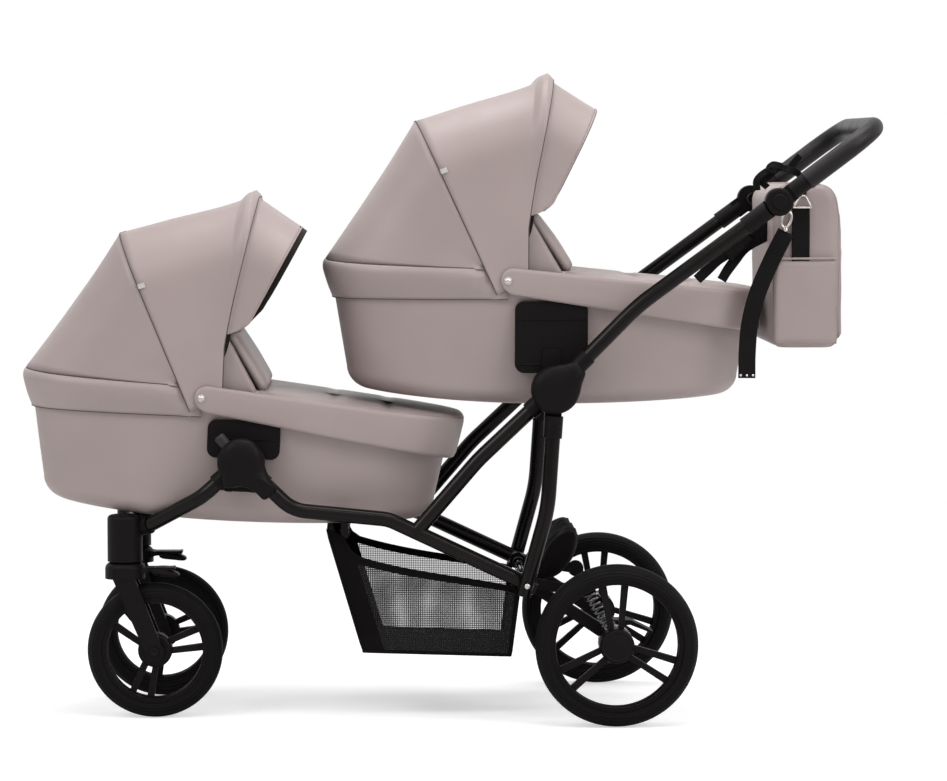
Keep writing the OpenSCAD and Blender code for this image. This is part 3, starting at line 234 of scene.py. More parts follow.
finishSet = {
    "taupeLeatherette": {"colour": (0.33, 0.266, 0.256), "deep": (0.306, 0.246, 0.236), "grain": 620, "depth": 0.00012,
                         "rough": (0.42, 0.52), "spec": 0.5, "sheen": 0.05},
    "taupeSeam": {"colour": (0.085, 0.066, 0.06), "deep": (0.06, 0.046, 0.042), "grain": 900, "depth": 0.0001,
                  "rough": (0.6, 0.75), "spec": 0.3, "sheen": 0},
    "darkLining": {"colour": (0.014, 0.011, 0.0105), "deep": (0.009, 0.007, 0.0068), "grain": 1300, "depth": 0.0001,
                   "rough": (0.75, 0.9), "spec": 0.1, "sheen": 0.05},
    "mattressCloth": {"colour": (0.55, 0.52, 0.5), "deep": (0.47, 0.44, 0.42), "grain": 1100, "depth": 0.00015,
                      "rough": (0.8, 0.9), "spec": 0.2, "sheen": 0.2},
    "satinPaint": {"colour": (0.0058, 0.0044, 0.0042), "deep": (0.0042, 0.0032, 0.003), "grain": 260, "depth": 0.00002,
                   "rough": (0.1, 0.17), "spec": 0.14, "sheen": 0, "tint": (1, 0.92, 0.95)},
    "blackMoulding": {"colour": (0.005, 0.0039, 0.0039), "deep": (0.0036, 0.0029, 0.0029), "grain": 1500,
                      "depth": 0.00005, "rough": (0.4, 0.52), "spec": 0.1, "sheen": 0, "tint": (1, 0.92, 0.95)},
    "greyMoulding": {"colour": (0.03, 0.03, 0.034), "deep": (0.022, 0.022, 0.025), "grain": 1500, "depth": 0.00004,
                     "rough": (0.4, 0.5), "spec": 0.2, "sheen": 0},
    "tyreRubber": {"colour": (0.0052, 0.0048, 0.005), "deep": (0.0036, 0.0033, 0.0035), "grain": 700, "depth": 0.00012,
                   "rough": (0.5, 0.64), "spec": 0.08, "sheen": 0, "tint": (1, 0.92, 0.95)},
    "gripLeather": {"colour": (0.0065, 0.0058, 0.0062), "deep": (0.0045, 0.004, 0.0043), "grain": 520, "depth": 0.00018,
                    "rough": (0.36, 0.48), "spec": 0.26, "sheen": 0.01, "tint": (1, 0.93, 0.96)},
    "basketCloth": {"colour": (0.0055, 0.0045, 0.0048), "deep": (0.0038, 0.003, 0.0033), "grain": 1000, "depth": 0.0002,
                    "rough": (0.7, 0.85), "spec": 0.05, "sheen": 0.01},
    "blackWebbing": {"colour": (0.0055, 0.0045, 0.0046), "deep": (0.0036, 0.003, 0.0031), "grain": 800, "depth": 0.0002,
                     "rough": (0.65, 0.8), "spec": 0.1, "sheen": 0.03},
    "brightPlate": {"colour": (0.62, 0.58, 0.55), "deep": (0.5, 0.46, 0.43), "grain": 300, "depth": 0.00001,
                    "rough": (0.18, 0.3), "spec": 0.5, "sheen": 0, "metal": 1},
    "springSteel": {"colour": (0.2, 0.2, 0.205), "deep": (0.14, 0.14, 0.145), "grain": 500, "depth": 0.00001,
                    "rough": (0.25, 0.38), "spec": 0.5, "sheen": 0, "metal": 1},
}


shadeSet = {"toneScale": 6, "toneDetail": 4, "toneSpan": (0.35, 0.65), "wearScale": 28, "wearDetail": 5,
            "wearSpan": (0.3, 0.7), "bump": 0.6, "weaveShare": 6, "weaveBend": 0.4, "noiseDetail": 3}


def setInputs(node, values):
    for key, value in values.items():
        node.inputs[key].default_value = value


# A new node with its settings, its input values and the sockets linked into it
def addNode(tree, kind, settings={}, values={}, wires={}):
    node = tree.nodes.new("ShaderNode" + kind)
    for key, value in settings.items():
        setattr(node, key, value)
    setInputs(node, values)
    for key, socket in wires.items():
        tree.links.new(socket, node.inputs[key])
    return node


# A sum whose terms are numbers or sockets
def mathNode(tree, operation, *terms):
    node = addNode(tree, "Math", {"operation": operation})
    for socket, term in zip(node.inputs, terms):
        if isinstance(term, (int, float)):
            socket.default_value = term
        else:
            tree.links.new(term, socket)
    return node.outputs[0]


def makeMaterial(name, values):
    mat = bpy.data.materials.new(name)
    mat.use_nodes = True
    shader = mat.node_tree.nodes["Principled BSDF"]
    setInputs(shader, values)
    return mat, mat.node_tree, shader


def makeFinish(name, kind):
    s, d = finishSet[name], shadeSet
    mat, tree, shader = makeMaterial(name, {
        "Metallic": s.get("metal", 0), "Specular IOR Level": s["spec"], "Sheen Weight": s["sheen"],
        "Specular Tint": (*s.get("tint", (1, 1, 1)), 1),
    })
    place = {"Vector": addNode(tree, "TexCoord").outputs["Object"]}
    # Slow change of tone over the piece
    tone = addNode(tree, "TexNoise", {}, {"Scale": d["toneScale"], "Detail": d["toneDetail"]}, place)
    ramp = addNode(tree, "ValToRGB", {}, {}, {"Fac": tone.outputs["Fac"]})
    stops = ramp.color_ramp.elements
    for k, colour in enumerate((s["deep"], s["colour"])):
        stops[k].position = d["toneSpan"][k]
        stops[k].color = (*colour, 1)
    tree.links.new(ramp.outputs["Color"], shader.inputs["Base Color"])
    # Grain at its real size
    if kind == "leather":
        grain = addNode(tree, "TexVoronoi", {"feature": "DISTANCE_TO_EDGE"}, {"Scale": s["grain"]}, place)
    elif kind == "weave":
        grain = addNode(tree, "TexWave", {"wave_type": "BANDS", "bands_direction": "DIAGONAL"},
                        {"Scale": s["grain"] / d["weaveShare"], "Distortion": d["weaveBend"]}, place)
    else:
        grain = addNode(tree, "TexNoise", {}, {"Scale": s["grain"], "Detail": d["noiseDetail"]}, place)
    height = grain.outputs["Distance" if kind == "leather" else "Fac"]
    bump = addNode(tree, "Bump", {}, {"Strength": d["bump"], "Distance": s["depth"]}, {"Height": height})
    tree.links.new(bump.outputs["Normal"], shader.inputs["Normal"])
    # Worn and matt patches
    wear = addNode(tree, "TexNoise", {}, {"Scale": d["wearScale"], "Detail": d["wearDetail"]}, place)
    low, high = d["wearSpan"]
    span = addNode(tree, "MapRange", {}, {"From Min": low, "From Max": high, "To Min": s["rough"][0],
                                          "To Max": s["rough"][1]}, {"Value": wear.outputs["Fac"]})
    tree.links.new(span.outputs["Result"], shader.inputs["Roughness"])
    return mat


taupe = makeFinish("taupeLeatherette", "leather")
seamLine = makeFinish("taupeSeam", "weave")
lining = makeFinish("darkLining", "weave")
mattressCloth = makeFinish("mattressCloth", "weave")
paint = makeFinish("satinPaint", "noise")
moulding = makeFinish("blackMoulding", "noise")
greyPlastic = makeFinish("greyMoulding", "noise")
rubber = makeFinish("tyreRubber", "noise")
gripSkin = makeFinish("gripLeather", "leather")
basketCloth = makeFinish("basketCloth", "weave")
webbing = makeFinish("blackWebbing", "weave")
plate = makeFinish("brightPlate", "noise")
springSteel = makeFinish("springSteel", "noise")

netSet = {"hole": 0.0034, "thread": 0.34, "colour": (0.008, 0.0072, 0.008), "rough": 0.7, "spec": 0.25,
          "drift": 0.0035, "driftScale": 6, "holeVeil": 0.25, "threadVeil": 0.97}


# Knitted net: threads with holes between them
def makeNet():
    s = netSet
    mat, tree, shader = makeMaterial("basketNet", {
        "Base Color": (*s["colour"], 1), "Roughness": s["rough"], "Specular IOR Level": s["spec"],
    })
    place = addNode(tree, "TexCoord").outputs["Object"]
    # The knit wanders a little, so near and far net don't beat in straight columns
    drift = addNode(tree, "TexNoise", {}, {"Scale": s["driftScale"]}, {"Vector": place})
    wander = addNode(tree, "VectorMath", {"operation": "MULTIPLY_ADD"}, {1: (s["drift"],) * 3},
                     {0: drift.outputs["Color"], 2: place})
    split = addNode(tree, "SeparateXYZ", {}, {}, {"Vector": wander.outputs["Vector"]})
    threads = []
    for axis in ("X", "Z"):
        scaled = mathNode(tree, "MULTIPLY", split.outputs[axis], 1 / s["hole"])
        threads.append(mathNode(tree, "LESS_THAN", mathNode(tree, "FRACT", scaled), s["thread"]))
    # Finer threads cross each hole
    veil = addNode(tree, "MapRange", {}, {"To Min": s["holeVeil"], "To Max": s["threadVeil"]},
                   {"Value": mathNode(tree, "MAXIMUM", *threads)})
    tree.links.new(veil.outputs["Result"], shader.inputs["Alpha"])
    return mat


net = makeNet()
print("finishes ready")

# CAD nodes that keep their shape

nodeFinishes = {
    "satinPaint": ["lower_rails", "front_tubes", "rear_legs", "diagonals", "cross_tubes", "axle_tube", "handle_tubes",
                   "frame_bolts", "front_mid_bow", "front_front_bow", "rear_mid_bow", "rear_front_bow"],
    "blackMoulding": ["front_hubs", "rear_hubs", "swivel_housings", "spring_brackets", "swing_arms", "brake_pedal",
                      "left_rear_rim", "right_rear_rim", "left_front_rim", "right_front_rim", "left_fork", "right_fork",
                      "left_swivel_lock", "right_swivel_lock", "fold_covers", "tilt_housings", "grip_bar",
                      "left_tilt_button", "right_tilt_button", "front_adapters", "rear_adapters"],
    "tyreRubber": ["left_rear_tyre", "right_rear_tyre", "left_front_tyre", "right_front_tyre"],
    "gripLeather": ["grip_sleeve"],
    "brightPlate": ["front_fittings", "rear_fittings"],
}


def paintNodes():
    for finish, names in nodeFinishes.items():
        for name in names:
            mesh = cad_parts[name].data
            mesh.materials.clear()
            mesh.materials.append(bpy.data.materials[finish])


paintNodes()
print("frame painted")

# Carrycots, drawn in each one's own frame with the hood pivot at the origin

cotSet = {
    "front": {"pivot": (-466, 556), "tilt": 2.5},
    "rear": {"pivot": (81.5, 764), "tilt": 0},
    "planPower": 3.4, "middle": 80,
}


def cotPoint(which, x, y, z):
    px, pz = cotSet[which]["pivot"]
    a = math.radians(cotSet[which]["tilt"])
    return mm(px + x * math.cos(a) + z * math.sin(a), y, pz - x * math.sin(a) + z * math.cos(a))


def cotTurn(which, x, y, z):
    return (cotPoint(which, x, y, z) - cotPoint(which, 0, 0, 0)) * 1000


def rounded(c, power):
    return math.copysign(abs(c) ** (2 / power), c)


def planPoint(a, head, foot, half):
    c, m = math.cos(a), cotSet["middle"]
    reach = head + m if c < 0 else foot - m
    return m + reach * rounded(c, cotSet["planPower"]), half * rounded(math.sin(a), cotSet["planPower"])


tubSet = {"topHead": 298, "topFoot": 472, "topHalf": 197, "lowHead": 268, "lowFoot": 446, "lowHalf": 166, "rim": 44,
          "fall": 0.1, "corner": 34, "wall": 8, "floor": 12, "depth": 199, "bellyAt": 100, "headRise": 30,
          "footRise": 16, "around": 144, "ripple": 0.7, "underInsets": (158, 120, 80, 50), "rimShare": 0.985,
          "rimInsets": (1.2, 4), "floorInsets": (80, 120, 150), "under": (100, 0, -190)}


def bellyZ(x):
    s = tubSet
    if x < s["bellyAt"]:
        return -s["depth"] + s["headRise"] * ((s["bellyAt"] - x) / (s["bellyAt"] + s["lowHead"])) ** 2
    return -s["depth"] + s["footRise"] * ((x - s["bellyAt"]) / (s["lowFoot"] - s["bellyAt"])) ** 2


def rimZ(x):
    return tubSet["rim"] - max(0, x) * tubSet["fall"]


def tubRow(which, share, inset, lift, ripple):
    s = tubSet
    row = []
    for k in range(s["around"]):
        a = 2 * math.pi * k / s["around"]
        lx, ly = planPoint(a, s["lowHead"] - inset, s["lowFoot"] - inset, s["lowHalf"] - inset)
        tx, ty = planPoint(a, s["topHead"] - inset, s["topFoot"] - inset, s["topHalf"] - inset)
        x, y = mixed(lx, tx, share), mixed(ly, ty, share)
        z = mixed(bellyZ(lx) + lift, rimZ(tx), share)
        p = Vector((x / 1000, y / 1000, z / 1000))
        push = ripple * (noise.noise(p * 7) + 0.5 * noise.noise(p * 17 + Vector((3, 1, 2))))
        out = Vector((x - s["bellyAt"], y * 2.4, 0)).normalized()
        row.append(cotPoint(which, x + out.x * push, y + out.y * push, z))
    return row


def makeTub(which):
    s = tubSet
    lift = s["corner"] + s["floor"]
    rows = [tubRow(which, 0, inset, 0, 0) for inset in s["underInsets"]]
    for i in range(9):
        t = math.pi / 2 * i / 8
        rows.append(tubRow(which, 0, s["corner"] * (1 - math.sin(t)), s["corner"] * (1 - math.cos(t)),
                           s["ripple"] * i / 8))
    rows += [tubRow(which, i / 14, 0, s["corner"], s["ripple"]) for i in range(1, 14)]
    rows.append(tubRow(which, s["rimShare"], 0, s["corner"], s["ripple"]))
    rows += [tubRow(which, 1, inset, 0, 0) for inset in s["rimInsets"]]
    outerRows = len(rows)
    rows.append(tubRow(which, s["rimShare"], s["wall"], lift, 0))
    rows += [tubRow(which, i / 6, s["wall"], lift, 0) for i in range(5, -1, -1)]
    for i in range(5, -1, -1):
        t = math.pi / 2 * i / 6
        rows.append(tubRow(which, 0, s["wall"] + s["corner"] * (1 - math.sin(t)),
                           s["floor"] + s["corner"] * (1 - math.cos(t)), 0))
    rows += [tubRow(which, 0, inset, s["floor"], 0) for inset in s["floorInsets"]]
    obj = gridMesh(which + "TubCover", rows, [taupe, lining], wrap=True, endCaps=True,
                   band=lambda i, j: 0 if i < outerRows else 1, outFrom=cotPoint(which, *s["under"]))
    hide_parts(which + "_tub")
    fasten(obj, which + "_carrycot")


collarSet = {"end": 20, "stations": 110, "lean": 0.46, "tuck": 0.92, "tuckFrom": 13, "tuckTo": 3, "fall": 14,
             "fallFrom": -306, "fallOver": 290, "ripple": 0.8, "rippleFrom": 4, "seamSteps": 140,
             "profile": [(0.4, 50), (-3, 20), (-6.6, -5), (-5.6, -8.5), (-3.6, -8.2), (-1.6, -3), (3, 8), (7.2, 19),
                         (11, 31), (13.4, 40), (14.2, 46), (13.6, 52), (11.6, 57), (8.6, 60), (4, 60.4)],
             # Each seam's way out, height and radius
             "seams": {"CollarTopSeam": (7.8, 60.8, 0.8), "CollarFootSeam": (-3.6, -8.6, 0.7)}}


# The collar's top edge falls towards the hood's mid seam
def collarFall(x):
    s = collarSet
    return s["fall"] * max(0, min(1, (x - s["fallFrom"]) / s["fallOver"])) ** 0.6


def collarFirst(end, reach):
    m = cotSet["middle"]
    return math.acos(-((m - end) / (m + reach)) ** (cotSet["planPower"] / 2))


# The collar tucks in under the hood's side panel along the slanted mid seam
def collarPoint(which, share, out, z, ripple=0.0):
    s = collarSet
    first = collarFirst(s["end"], tubSet["topHead"])
    a = mixed(first, 2 * math.pi - first, share)
    seamX = -s["lean"] * z
    baseX = planPoint(a, tubSet["topHead"], tubSet["topFoot"], tubSet["topHalf"])[0]
    out *= 1 - s["tuck"] * smooth(seamX - s["tuckFrom"], seamX - s["tuckTo"], baseX)
    x, y = planPoint(a, tubSet["topHead"] + out, tubSet["topFoot"], tubSet["topHalf"] + out)
    z -= collarFall(x) * smooth(-8, 60, z)
    p = Vector((x, y, z)) / 1000
    push = ripple * (noise.noise(p * 9) + 0.6 * noise.noise(p * 23))
    d = Vector((x - 40, y * 1.6, 0)).normalized()
    return cotPoint(which, x + d.x * push, y + d.y * push, z)


def makeCollar(which):
    s = collarSet
    rows = [[collarPoint(which, k / s["stations"], out, z, s["ripple"] if out > s["rippleFrom"] else 0)
             for out, z in s["profile"]] for k in range(s["stations"] + 1)]
    obj = gridMesh(which + "Collar", rows, [taupe], wrap=True, endCaps=True)
    fixNormals(obj)
    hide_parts(which + "_collar")
    fasten(obj, which + "_carrycot")
    n = s["seamSteps"]
    for name, (out, z, r) in s["seams"].items():
        line = tubeMesh(which + name, [collarPoint(which, k / n, out, z) for k in range(n + 1)], r / 1000, [seamLine],
                        sides=6)
        fasten(line, which + "_carrycot")


def fixNormals(obj):
    bm = bmesh.new()
    bm.from_mesh(obj.data)
    bmesh.ops.recalc_face_normals(bm, faces=bm.faces)
    bm.to_mesh(obj.data)
    bm.free()


# Hood: three panels between the rim, the mid bow, the front bow and the visor's edge

hoodSet = {"half": 203, "round": 118, "midTop": (-143, 310), "frontTop": (95, 393), "kneeX": 57, "kneeShare": 0.3,
           "rimStart": -12, "rimReach": 306, "rimZ": (59.5, 62), "rimFirst": 0.004, "backStart": 0.062,
           "midStart": 0.0, "frontStart": 0.026, "visorStart": 0.13, "visorLow": 144, "visorFoot": 37,
           "visorReach": 88, "visorDrop": 62, "visorLift": 14, "visorRound": 14, "visorLong": 1090, "visorInset": 6,
           "visorSag": 1.5, "sag": 3.0, "hollow": 6.5, "roll": 3.2, "rollAt": -4, "rollWide": 18,
           "rollFade": (0.13, 0.4), "seamAt": 13, "seamIn": 0.4, "across": 96, "along": 18, "cloth": 0.002,
           "ripple": 0.9, "middle": (-60, 0, 90), "blend": ((-250, 0, 80), (60, 0, 380)), "lineSteps": 160,
           "facing": {"front": (16, 5), "rear": (12, 9.5)}, "facingIn": 2.6, "facingThick": 0.0016,
           "facingFrom": 0.97, "tabShare": 0.245, "tabOut": 1.2, "tabWide": 0.009, "tabThick": 0.0012}


def arch(s, w, h, r):
    if s > 0.5:
        y, z = arch(1 - s, w, h, r)
        return -y, z
    quarter = r * math.pi / 2
    d = 2 * s * (h - r + quarter + w - r)
    if d < h - r:
        return -w, d
    if d < h - r + quarter:
        a = (d - h + r) / r
        return -w + r - r * math.cos(a), h - r + r * math.sin(a)
    return -w + r + d - (h - r + quarter), h


def rimEdge(s, inset):
    h = hoodSet
    first = collarFirst(h["rimStart"], h["rimReach"])
    a = mixed(2 * math.pi - first, first, s)
    x, y = planPoint(a, h["rimReach"] - inset, tubSet["topFoot"], h["half"] - inset)
    return Vector((x, y, mixed(h["rimZ"][0], h["rimZ"][1], math.cos(a) ** 2) - collarFall(x)))


def midEdge(s, inset):
    h = hoodSet
    tall = math.hypot(*h["midTop"])
    y, z = arch(s, h["half"] - inset, tall - inset, h["round"] - inset)
    return Vector((h["midTop"][0] * z / tall, y, h["midTop"][1] * z / tall))


def frontEdge(s, inset):
    h = hoodSet
    tall = h["frontTop"][1]
    y, z = arch(s, h["half"] - inset, tall - inset, h["round"] - inset)
    t = max(0, z / tall - h["kneeShare"]) / (1 - h["kneeShare"])
    return Vector((mixed(h["kneeX"], h["frontTop"][0], t), y, z))


def visorEdge(s, inset):
    h = hoodSet
    p = frontEdge(s, inset)
    t = max(0, (p.z - h["visorLow"]) / (h["frontTop"][1] - h["visorLow"]))
    out = mixed(h["visorFoot"], h["visorReach"], t)
    return Vector((p.x + out, p.y, p.z + mixed(h["visorLift"], -h["visorDrop"], t)))


# A padded roll stands up along the front bow, most of all on top; off is the way past the bow in mm
def frontRoll(t, off):
    h = hoodSet
    inRoll = max(0, 1 - (abs(off - h["rollAt"]) / h["rollWide"]) ** 2.4)
    return h["roll"] * overTop(t) * inRoll ** 0.6


# 1 over the top of an arch, fading to 0 down its sides
def overTop(t):
    return smooth(*hoodSet["rollFade"], min(t, 1 - t))


def frontSeam(t):
    return hoodSet["seamAt"] * overTop(t)


def seamPoint(t):
    a, b = frontEdge(t, hoodSet["seamIn"]), visorEdge(t, hoodSet["seamIn"])
    return mixed(a, b, frontSeam(t) / (b - a).length)


def hoodPoint(kind, s, v):
    h = hoodSet
    sag = h["sag"] * math.sin(math.pi * v)
    between = lambda first: mixed(first, 1 - first, s)
    if kind == "back":
        p = mixed(rimEdge(between(h["rimFirst"]), sag), midEdge(between(h["backStart"]), sag), v)
    elif kind == "top":
        # The cloth hollows before it climbs the roll
        a, b = between(h["midStart"]), between(h["frontStart"])
        low = h["hollow"] * overTop(b) * smooth(0.3, 0.85, v) * (1 - smooth(0.9, 0.97, v))
        long = (frontEdge(b, 0) - midEdge(a, 0)).length
        inset = sag + low - frontRoll(b, (v - 1) * long)
        p = mixed(midEdge(a, inset), frontEdge(b, inset), v)
    else:
        # The lower corner of the visor is rounded
        first = between(h["visorStart"])
        near = h["visorLong"] * min(s, 1 - s) * (1 - 2 * h["visorStart"]) / h["visorRound"]
        if near < 1:
            v *= 1 - (1 - math.sqrt(1 - (1 - near) ** 2)) * h["visorRound"] / h["visorFoot"]
        off = v * (visorEdge(first, 0) - frontEdge(first, 0)).length
        at = frontSeam(first)
        inset = h["visorInset"] * (1 - v) * smooth(at - 1, at + 5, off)
        inset -= frontRoll(first, off) * (1 - smooth(at - 4, at + 2, off))
        p = mixed(frontEdge(first, inset), visorEdge(first, inset + h["visorSag"] * math.sin(math.pi * v)), v)
    q = p / 1000
    hush = math.sin(math.pi * min(1, max(0, v))) ** 0.6
    push = h["ripple"] * hush * (noise.noise(q * 6) + 0.5 * noise.noise(q * 15))
    d = Vector((p.x * 0.3, p.y, max(0, p.z - 120))).normalized()
    return p + d * push


# The panel's place is baked into its mesh
def bendBetween(obj, bodyA, bodyB, start, end, shares):
    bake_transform(obj)


# Steps across a panel, closer together on one side of the split
def splitSteps(split, first, second):
    return [split * i / first for i in range(first)] + [split + (1 - split) * i / second for i in range(second + 1)]


def makeHoodPanels(which):
    h = hoodSet
    n, m = h["across"], h["along"]
    even = [j / n for j in range(n + 1)]
    tips = [j / n / 6 for j in range(12)]
    fine = sorted(set(even + tips + [1 - t for t in tips]))
    ends = [cotPoint(which, *p) for p in h["blend"]]
    for kind, node, bodies, steps, places in (
        ("back", "hood_back", ("_carrycot", "_mid_bow"), [i / m for i in range(m + 1)], even),
        ("top", "hood_top", ("_mid_bow", "_front_bow"), splitSteps(0.84, 14, 24), even),
        ("visor", "visor", ("_front_bow",), splitSteps(0.22, 16, 14), fine),
    ):
        rows, shares = [], []
        for v in steps:
            rows.append([cotPoint(which, *hoodPoint(kind, s, v)) for s in places])
            shares += [v * v * (3 - 2 * v)] * len(places)
        obj = gridMesh(which + "Hood" + kind.capitalize(), rows, [taupe, lining],
                       outFrom=cotPoint(which, *h["middle"]))
        addSolidify(obj, h["cloth"], liningSlot=1)
        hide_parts(which + "_" + node)
        if kind == "visor":
            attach(obj, which + bodies[0])
        else:
            bendBetween(obj, which + bodies[0], which + bodies[1], *ends, shares)
        declareSheet(rows)


def makeHood(which):
    h = hoodSet
    n = h["lineSteps"]
    makeHoodPanels(which)
    # Sewn lines along both bows and the visor's bound edge
    lines = (
        ("MidSeam", "_mid_bow", lambda s: midEdge(mixed(h["midStart"], 1 - h["midStart"], s), 0), 0.8, seamLine),
        ("FrontSeam", "_front_bow", lambda s: seamPoint(mixed(h["frontStart"], 1 - h["frontStart"], s)), 0.9, seamLine),
        ("VisorHem", "_front_bow", lambda s: hoodPoint("visor", s, 1), 1.5, taupe),
    )
    for name, body, place, r, finish in lines:
        path = [cotPoint(which, *place(k / n)) for k in range(n + 1)]
        line = tubeMesh(which + name, path, r / 1000, [finish], sides=8)
        fasten(line, which + body)
    # Dark facing turned out at the visor's edge
    rows = []
    for k in range(n + 1):
        a, b = hoodPoint("visor", k / n, h["facingFrom"]), hoodPoint("visor", k / n, 1)
        ahead = (b - a).normalized()
        wide, back = h["facing"][which]
        wide = mixed(back, wide, smooth(0, 0.06, min(k, n - k) / n))
        inward = Vector((0, -math.copysign(h["facingIn"], b.y), 0))
        rows.append([cotPoint(which, *(b + inward + ahead * (wide * j / 4 - back))) for j in range(5)])
    facing = gridMesh(which + "VisorFacing", rows, [lining])
    addSolidify(facing, h["facingThick"])
    fasten(facing, which + "_front_bow")
    declareSheet(rows)
    # Plain cloth tab on the mid seam
    for side, hand in hands:
        a = midEdge(h["tabShare"], 0)
        path = [cotPoint(which, a.x + 1 + 2.4 * k, side * (h["half"] + h["tabOut"] + 0.5 * math.sin(k * 0.8)),
                         a.z - 1 + 0.9 * k) for k in range(6)]
        tab = strapMesh(which + hand.capitalize() + "SeamTab", path, h["tabWide"], h["tabThick"],
                        cotTurn(which, 0.35, 0, -1), [mattressCloth])
        fasten(tab, which + "_mid_bow")


apronSet = {"tab": 8, "mouth": 118, "half": 207, "head": 313, "foot": 486, "gap": 0.3, "thick": 8, "skirt": 4,
            "skirtFall": 0.158, "skirtTop": 1.5, "round": 25, "around": 150, "ripple": 0.7,
            "flare": {"front": 10, "rear": 2.5}, "flareSpan": (330, 475), "coverIn": 1.6, "spine": 220, "crown": 4,
            "channels": (0.525, 0.728), "channelWide": 9, "channelDeep": 5, "edgeDrop": 5, "edgeShare": 0.04,
            "riseShare": 0.4, "pucker": 0.8, "cloth": 0.006, "under": (250, 0, -200), "hole": (302, 0, 30),
            "hem": 0.0045, "hemHalf": 203, "hemDrop": 3.5,
            "shares": (0, 0.015, 0.04, 0.08, 0.14, 0.22, 0.32, 0.44, 0.56, 0.68, 0.8, 0.9, 0.97)}


def apronTop(x):
    return tubSet["rim"] + apronSet["gap"] + apronSet["thick"] - x * tubSet["fall"]


def skirtFoot(x):
    return apronSet["skirt"] - x * apronSet["skirtFall"]


def apronChannel(x):
    s = apronSet
    return -s["channelDeep"] * max(math.exp(-((x - c * s["foot"]) / s["channelWide"]) ** 2) for c in s["channels"])


# The apron's foot end leans out towards its top
def apronFlare(which, x):
    return apronSet["flare"][which] * smooth(*apronSet["flareSpan"], x)


def apronLine(start, count, inset):
    s, m = apronSet, cotSet["middle"]
    if start < m:
        reach = math.acos(-((m - start) / (m + s["head"])) ** (cotSet["planPower"] / 2))
    else:
        reach = math.acos(((start - m) / (s["foot"] - m)) ** (cotSet["planPower"] / 2))
    return [planPoint(mixed(-reach, reach, k / count), s["head"], s["foot"] - inset, s["half"] - inset)
            for k in range(count + 1)]


# Skirt round the tub's rim, with a rounded tab at each end
def makeApronSkirt(which):
    s = apronSet
    line = [Vector(p) for p in apronLine(s["tab"], 600, 0)]
    lengths = [0]
    for a, b in zip(line, line[1:]):
        lengths.append(lengths[-1] + (b - a).length)
    total = lengths[-1]
    tip = [s["round"] * i / 16 for i in range(16)]
    stations = tip + [mixed(s["round"], total - s["round"], i / s["around"]) for i in range(s["around"] + 1)]
    stations += [total - d for d in reversed(tip)]
    rows = []
    spot = 0
    for far in stations:
        while spot < len(line) - 2 and lengths[spot + 1] < far:
            spot += 1
        ahead = (line[spot + 1] - line[spot]).normalized()
        x, y = line[spot] + ahead * (far - lengths[spot])
        ox, oy = ahead.y, -ahead.x
        low, high = skirtFoot(x), apronTop(x) - s["skirtTop"]
        end = min(far, total - far)
        grow = math.sqrt(max(0.0, 1 - (1 - min(1, (end + 0.3) / s["round"])) ** 2))
        mid, tall = (low + high) / 2, (high - low) / 2 * grow
        push = s["ripple"] * noise.noise(Vector((x, y, mid)) / 1000 * 8)
        shape = ((-5.5, 0.9), (-5.5, -0.93), (-3.5, -1), (-1.2, -0.97), (0.1 + push, -0.8), (0.5 + push, -0.35),
                 (0.3 + push, 0.2), (0.0 + push, 0.7), (-1.4, 0.94), (-3.6, 1))
        flare = apronFlare(which, x)
        rows.append([cotPoint(which, x + ox * o + flare * (0.2 + 0.8 * up), y + oy * o, mid + tall * up)
                     for o, up in shape])
    band = gridMesh(which + "ApronSkirt", rows, [taupe], wrap=True, endCaps=True)
    fixNormals(band)
    fasten(band, which + "_carrycot")


# Crowned cover with sewn cross channels
def makeApronCover(which):
    s = apronSet
    edge = apronLine(s["mouth"], 96, s["coverIn"])
    count = 28
    edge += [(s["mouth"], edge[-1][1] * (1 - 2 * k / count)) for k in range(1, count)]
    rows = []
    for share in s["shares"]:
        row = []
        rise = min(1, share / s["riseShare"])
        drop = s["edgeDrop"] * max(0, 1 - share / s["edgeShare"]) ** 2
        for x, y in edge:
            mx = mixed(x, (s["mouth"] + s["foot"]) / 2, s["spine"] / (s["foot"] - s["mouth"]))
            px, py = mixed(x, mx, share), mixed(y, 0, share)
            z = apronTop(px) - drop + math.sin(math.pi / 2 * rise) ** 0.7 * (s["crown"] + apronChannel(px))
            z += s["pucker"] * noise.noise(Vector((px, py, 0)) / 1000 * 11) * rise
            row.append(cotPoint(which, px + apronFlare(which, px) * max(0, 1 - share / s["riseShare"]), py, z))
        rows.append(row)
    cover = gridMesh(which + "ApronCover", rows, [taupe, lining], wrap=True, outFrom=cotPoint(which, *s["under"]))
    # Close the slit that is left along the middle
    middle = cotPoint(which, *s["hole"])
    bm = bmesh.new()
    bm.from_mesh(cover.data)
    slit = [e for e in bm.edges if e.is_boundary and (e.verts[0].co - middle).length < 0.12
            and abs(e.verts[0].co.y) < 0.02]
    bmesh.ops.holes_fill(bm, edges=slit, sides=0)
    bmesh.ops.recalc_face_normals(bm, faces=bm.faces)
    bm.to_mesh(cover.data)
    bm.free()
    for p in cover.data.polygons:
        p.use_smooth = True
    addSolidify(cover, s["cloth"], liningSlot=1)
    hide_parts(which + "_apron")
    fasten(cover, which + "_carrycot")
    high = apronTop(s["mouth"]) - s["hemDrop"]
    path = [cotPoint(which, s["mouth"] + 1, y, high) for y in range(-s["hemHalf"], s["hemHalf"] + 1, 7)]
    hem = tubeMesh(which + "ApronHem", path, s["hem"], [taupe], sides=10)
    fasten(hem, which + "_carrycot")


flapSet = {"top": (63, 142), "foot": (132, 40), "half": 168, "bow": 6, "thick": 0.025}
gussetSet = {"near": 24, "far": (64, 124), "z": (132, 30), "out": 184, "lean": 9, "thick": 0.011}


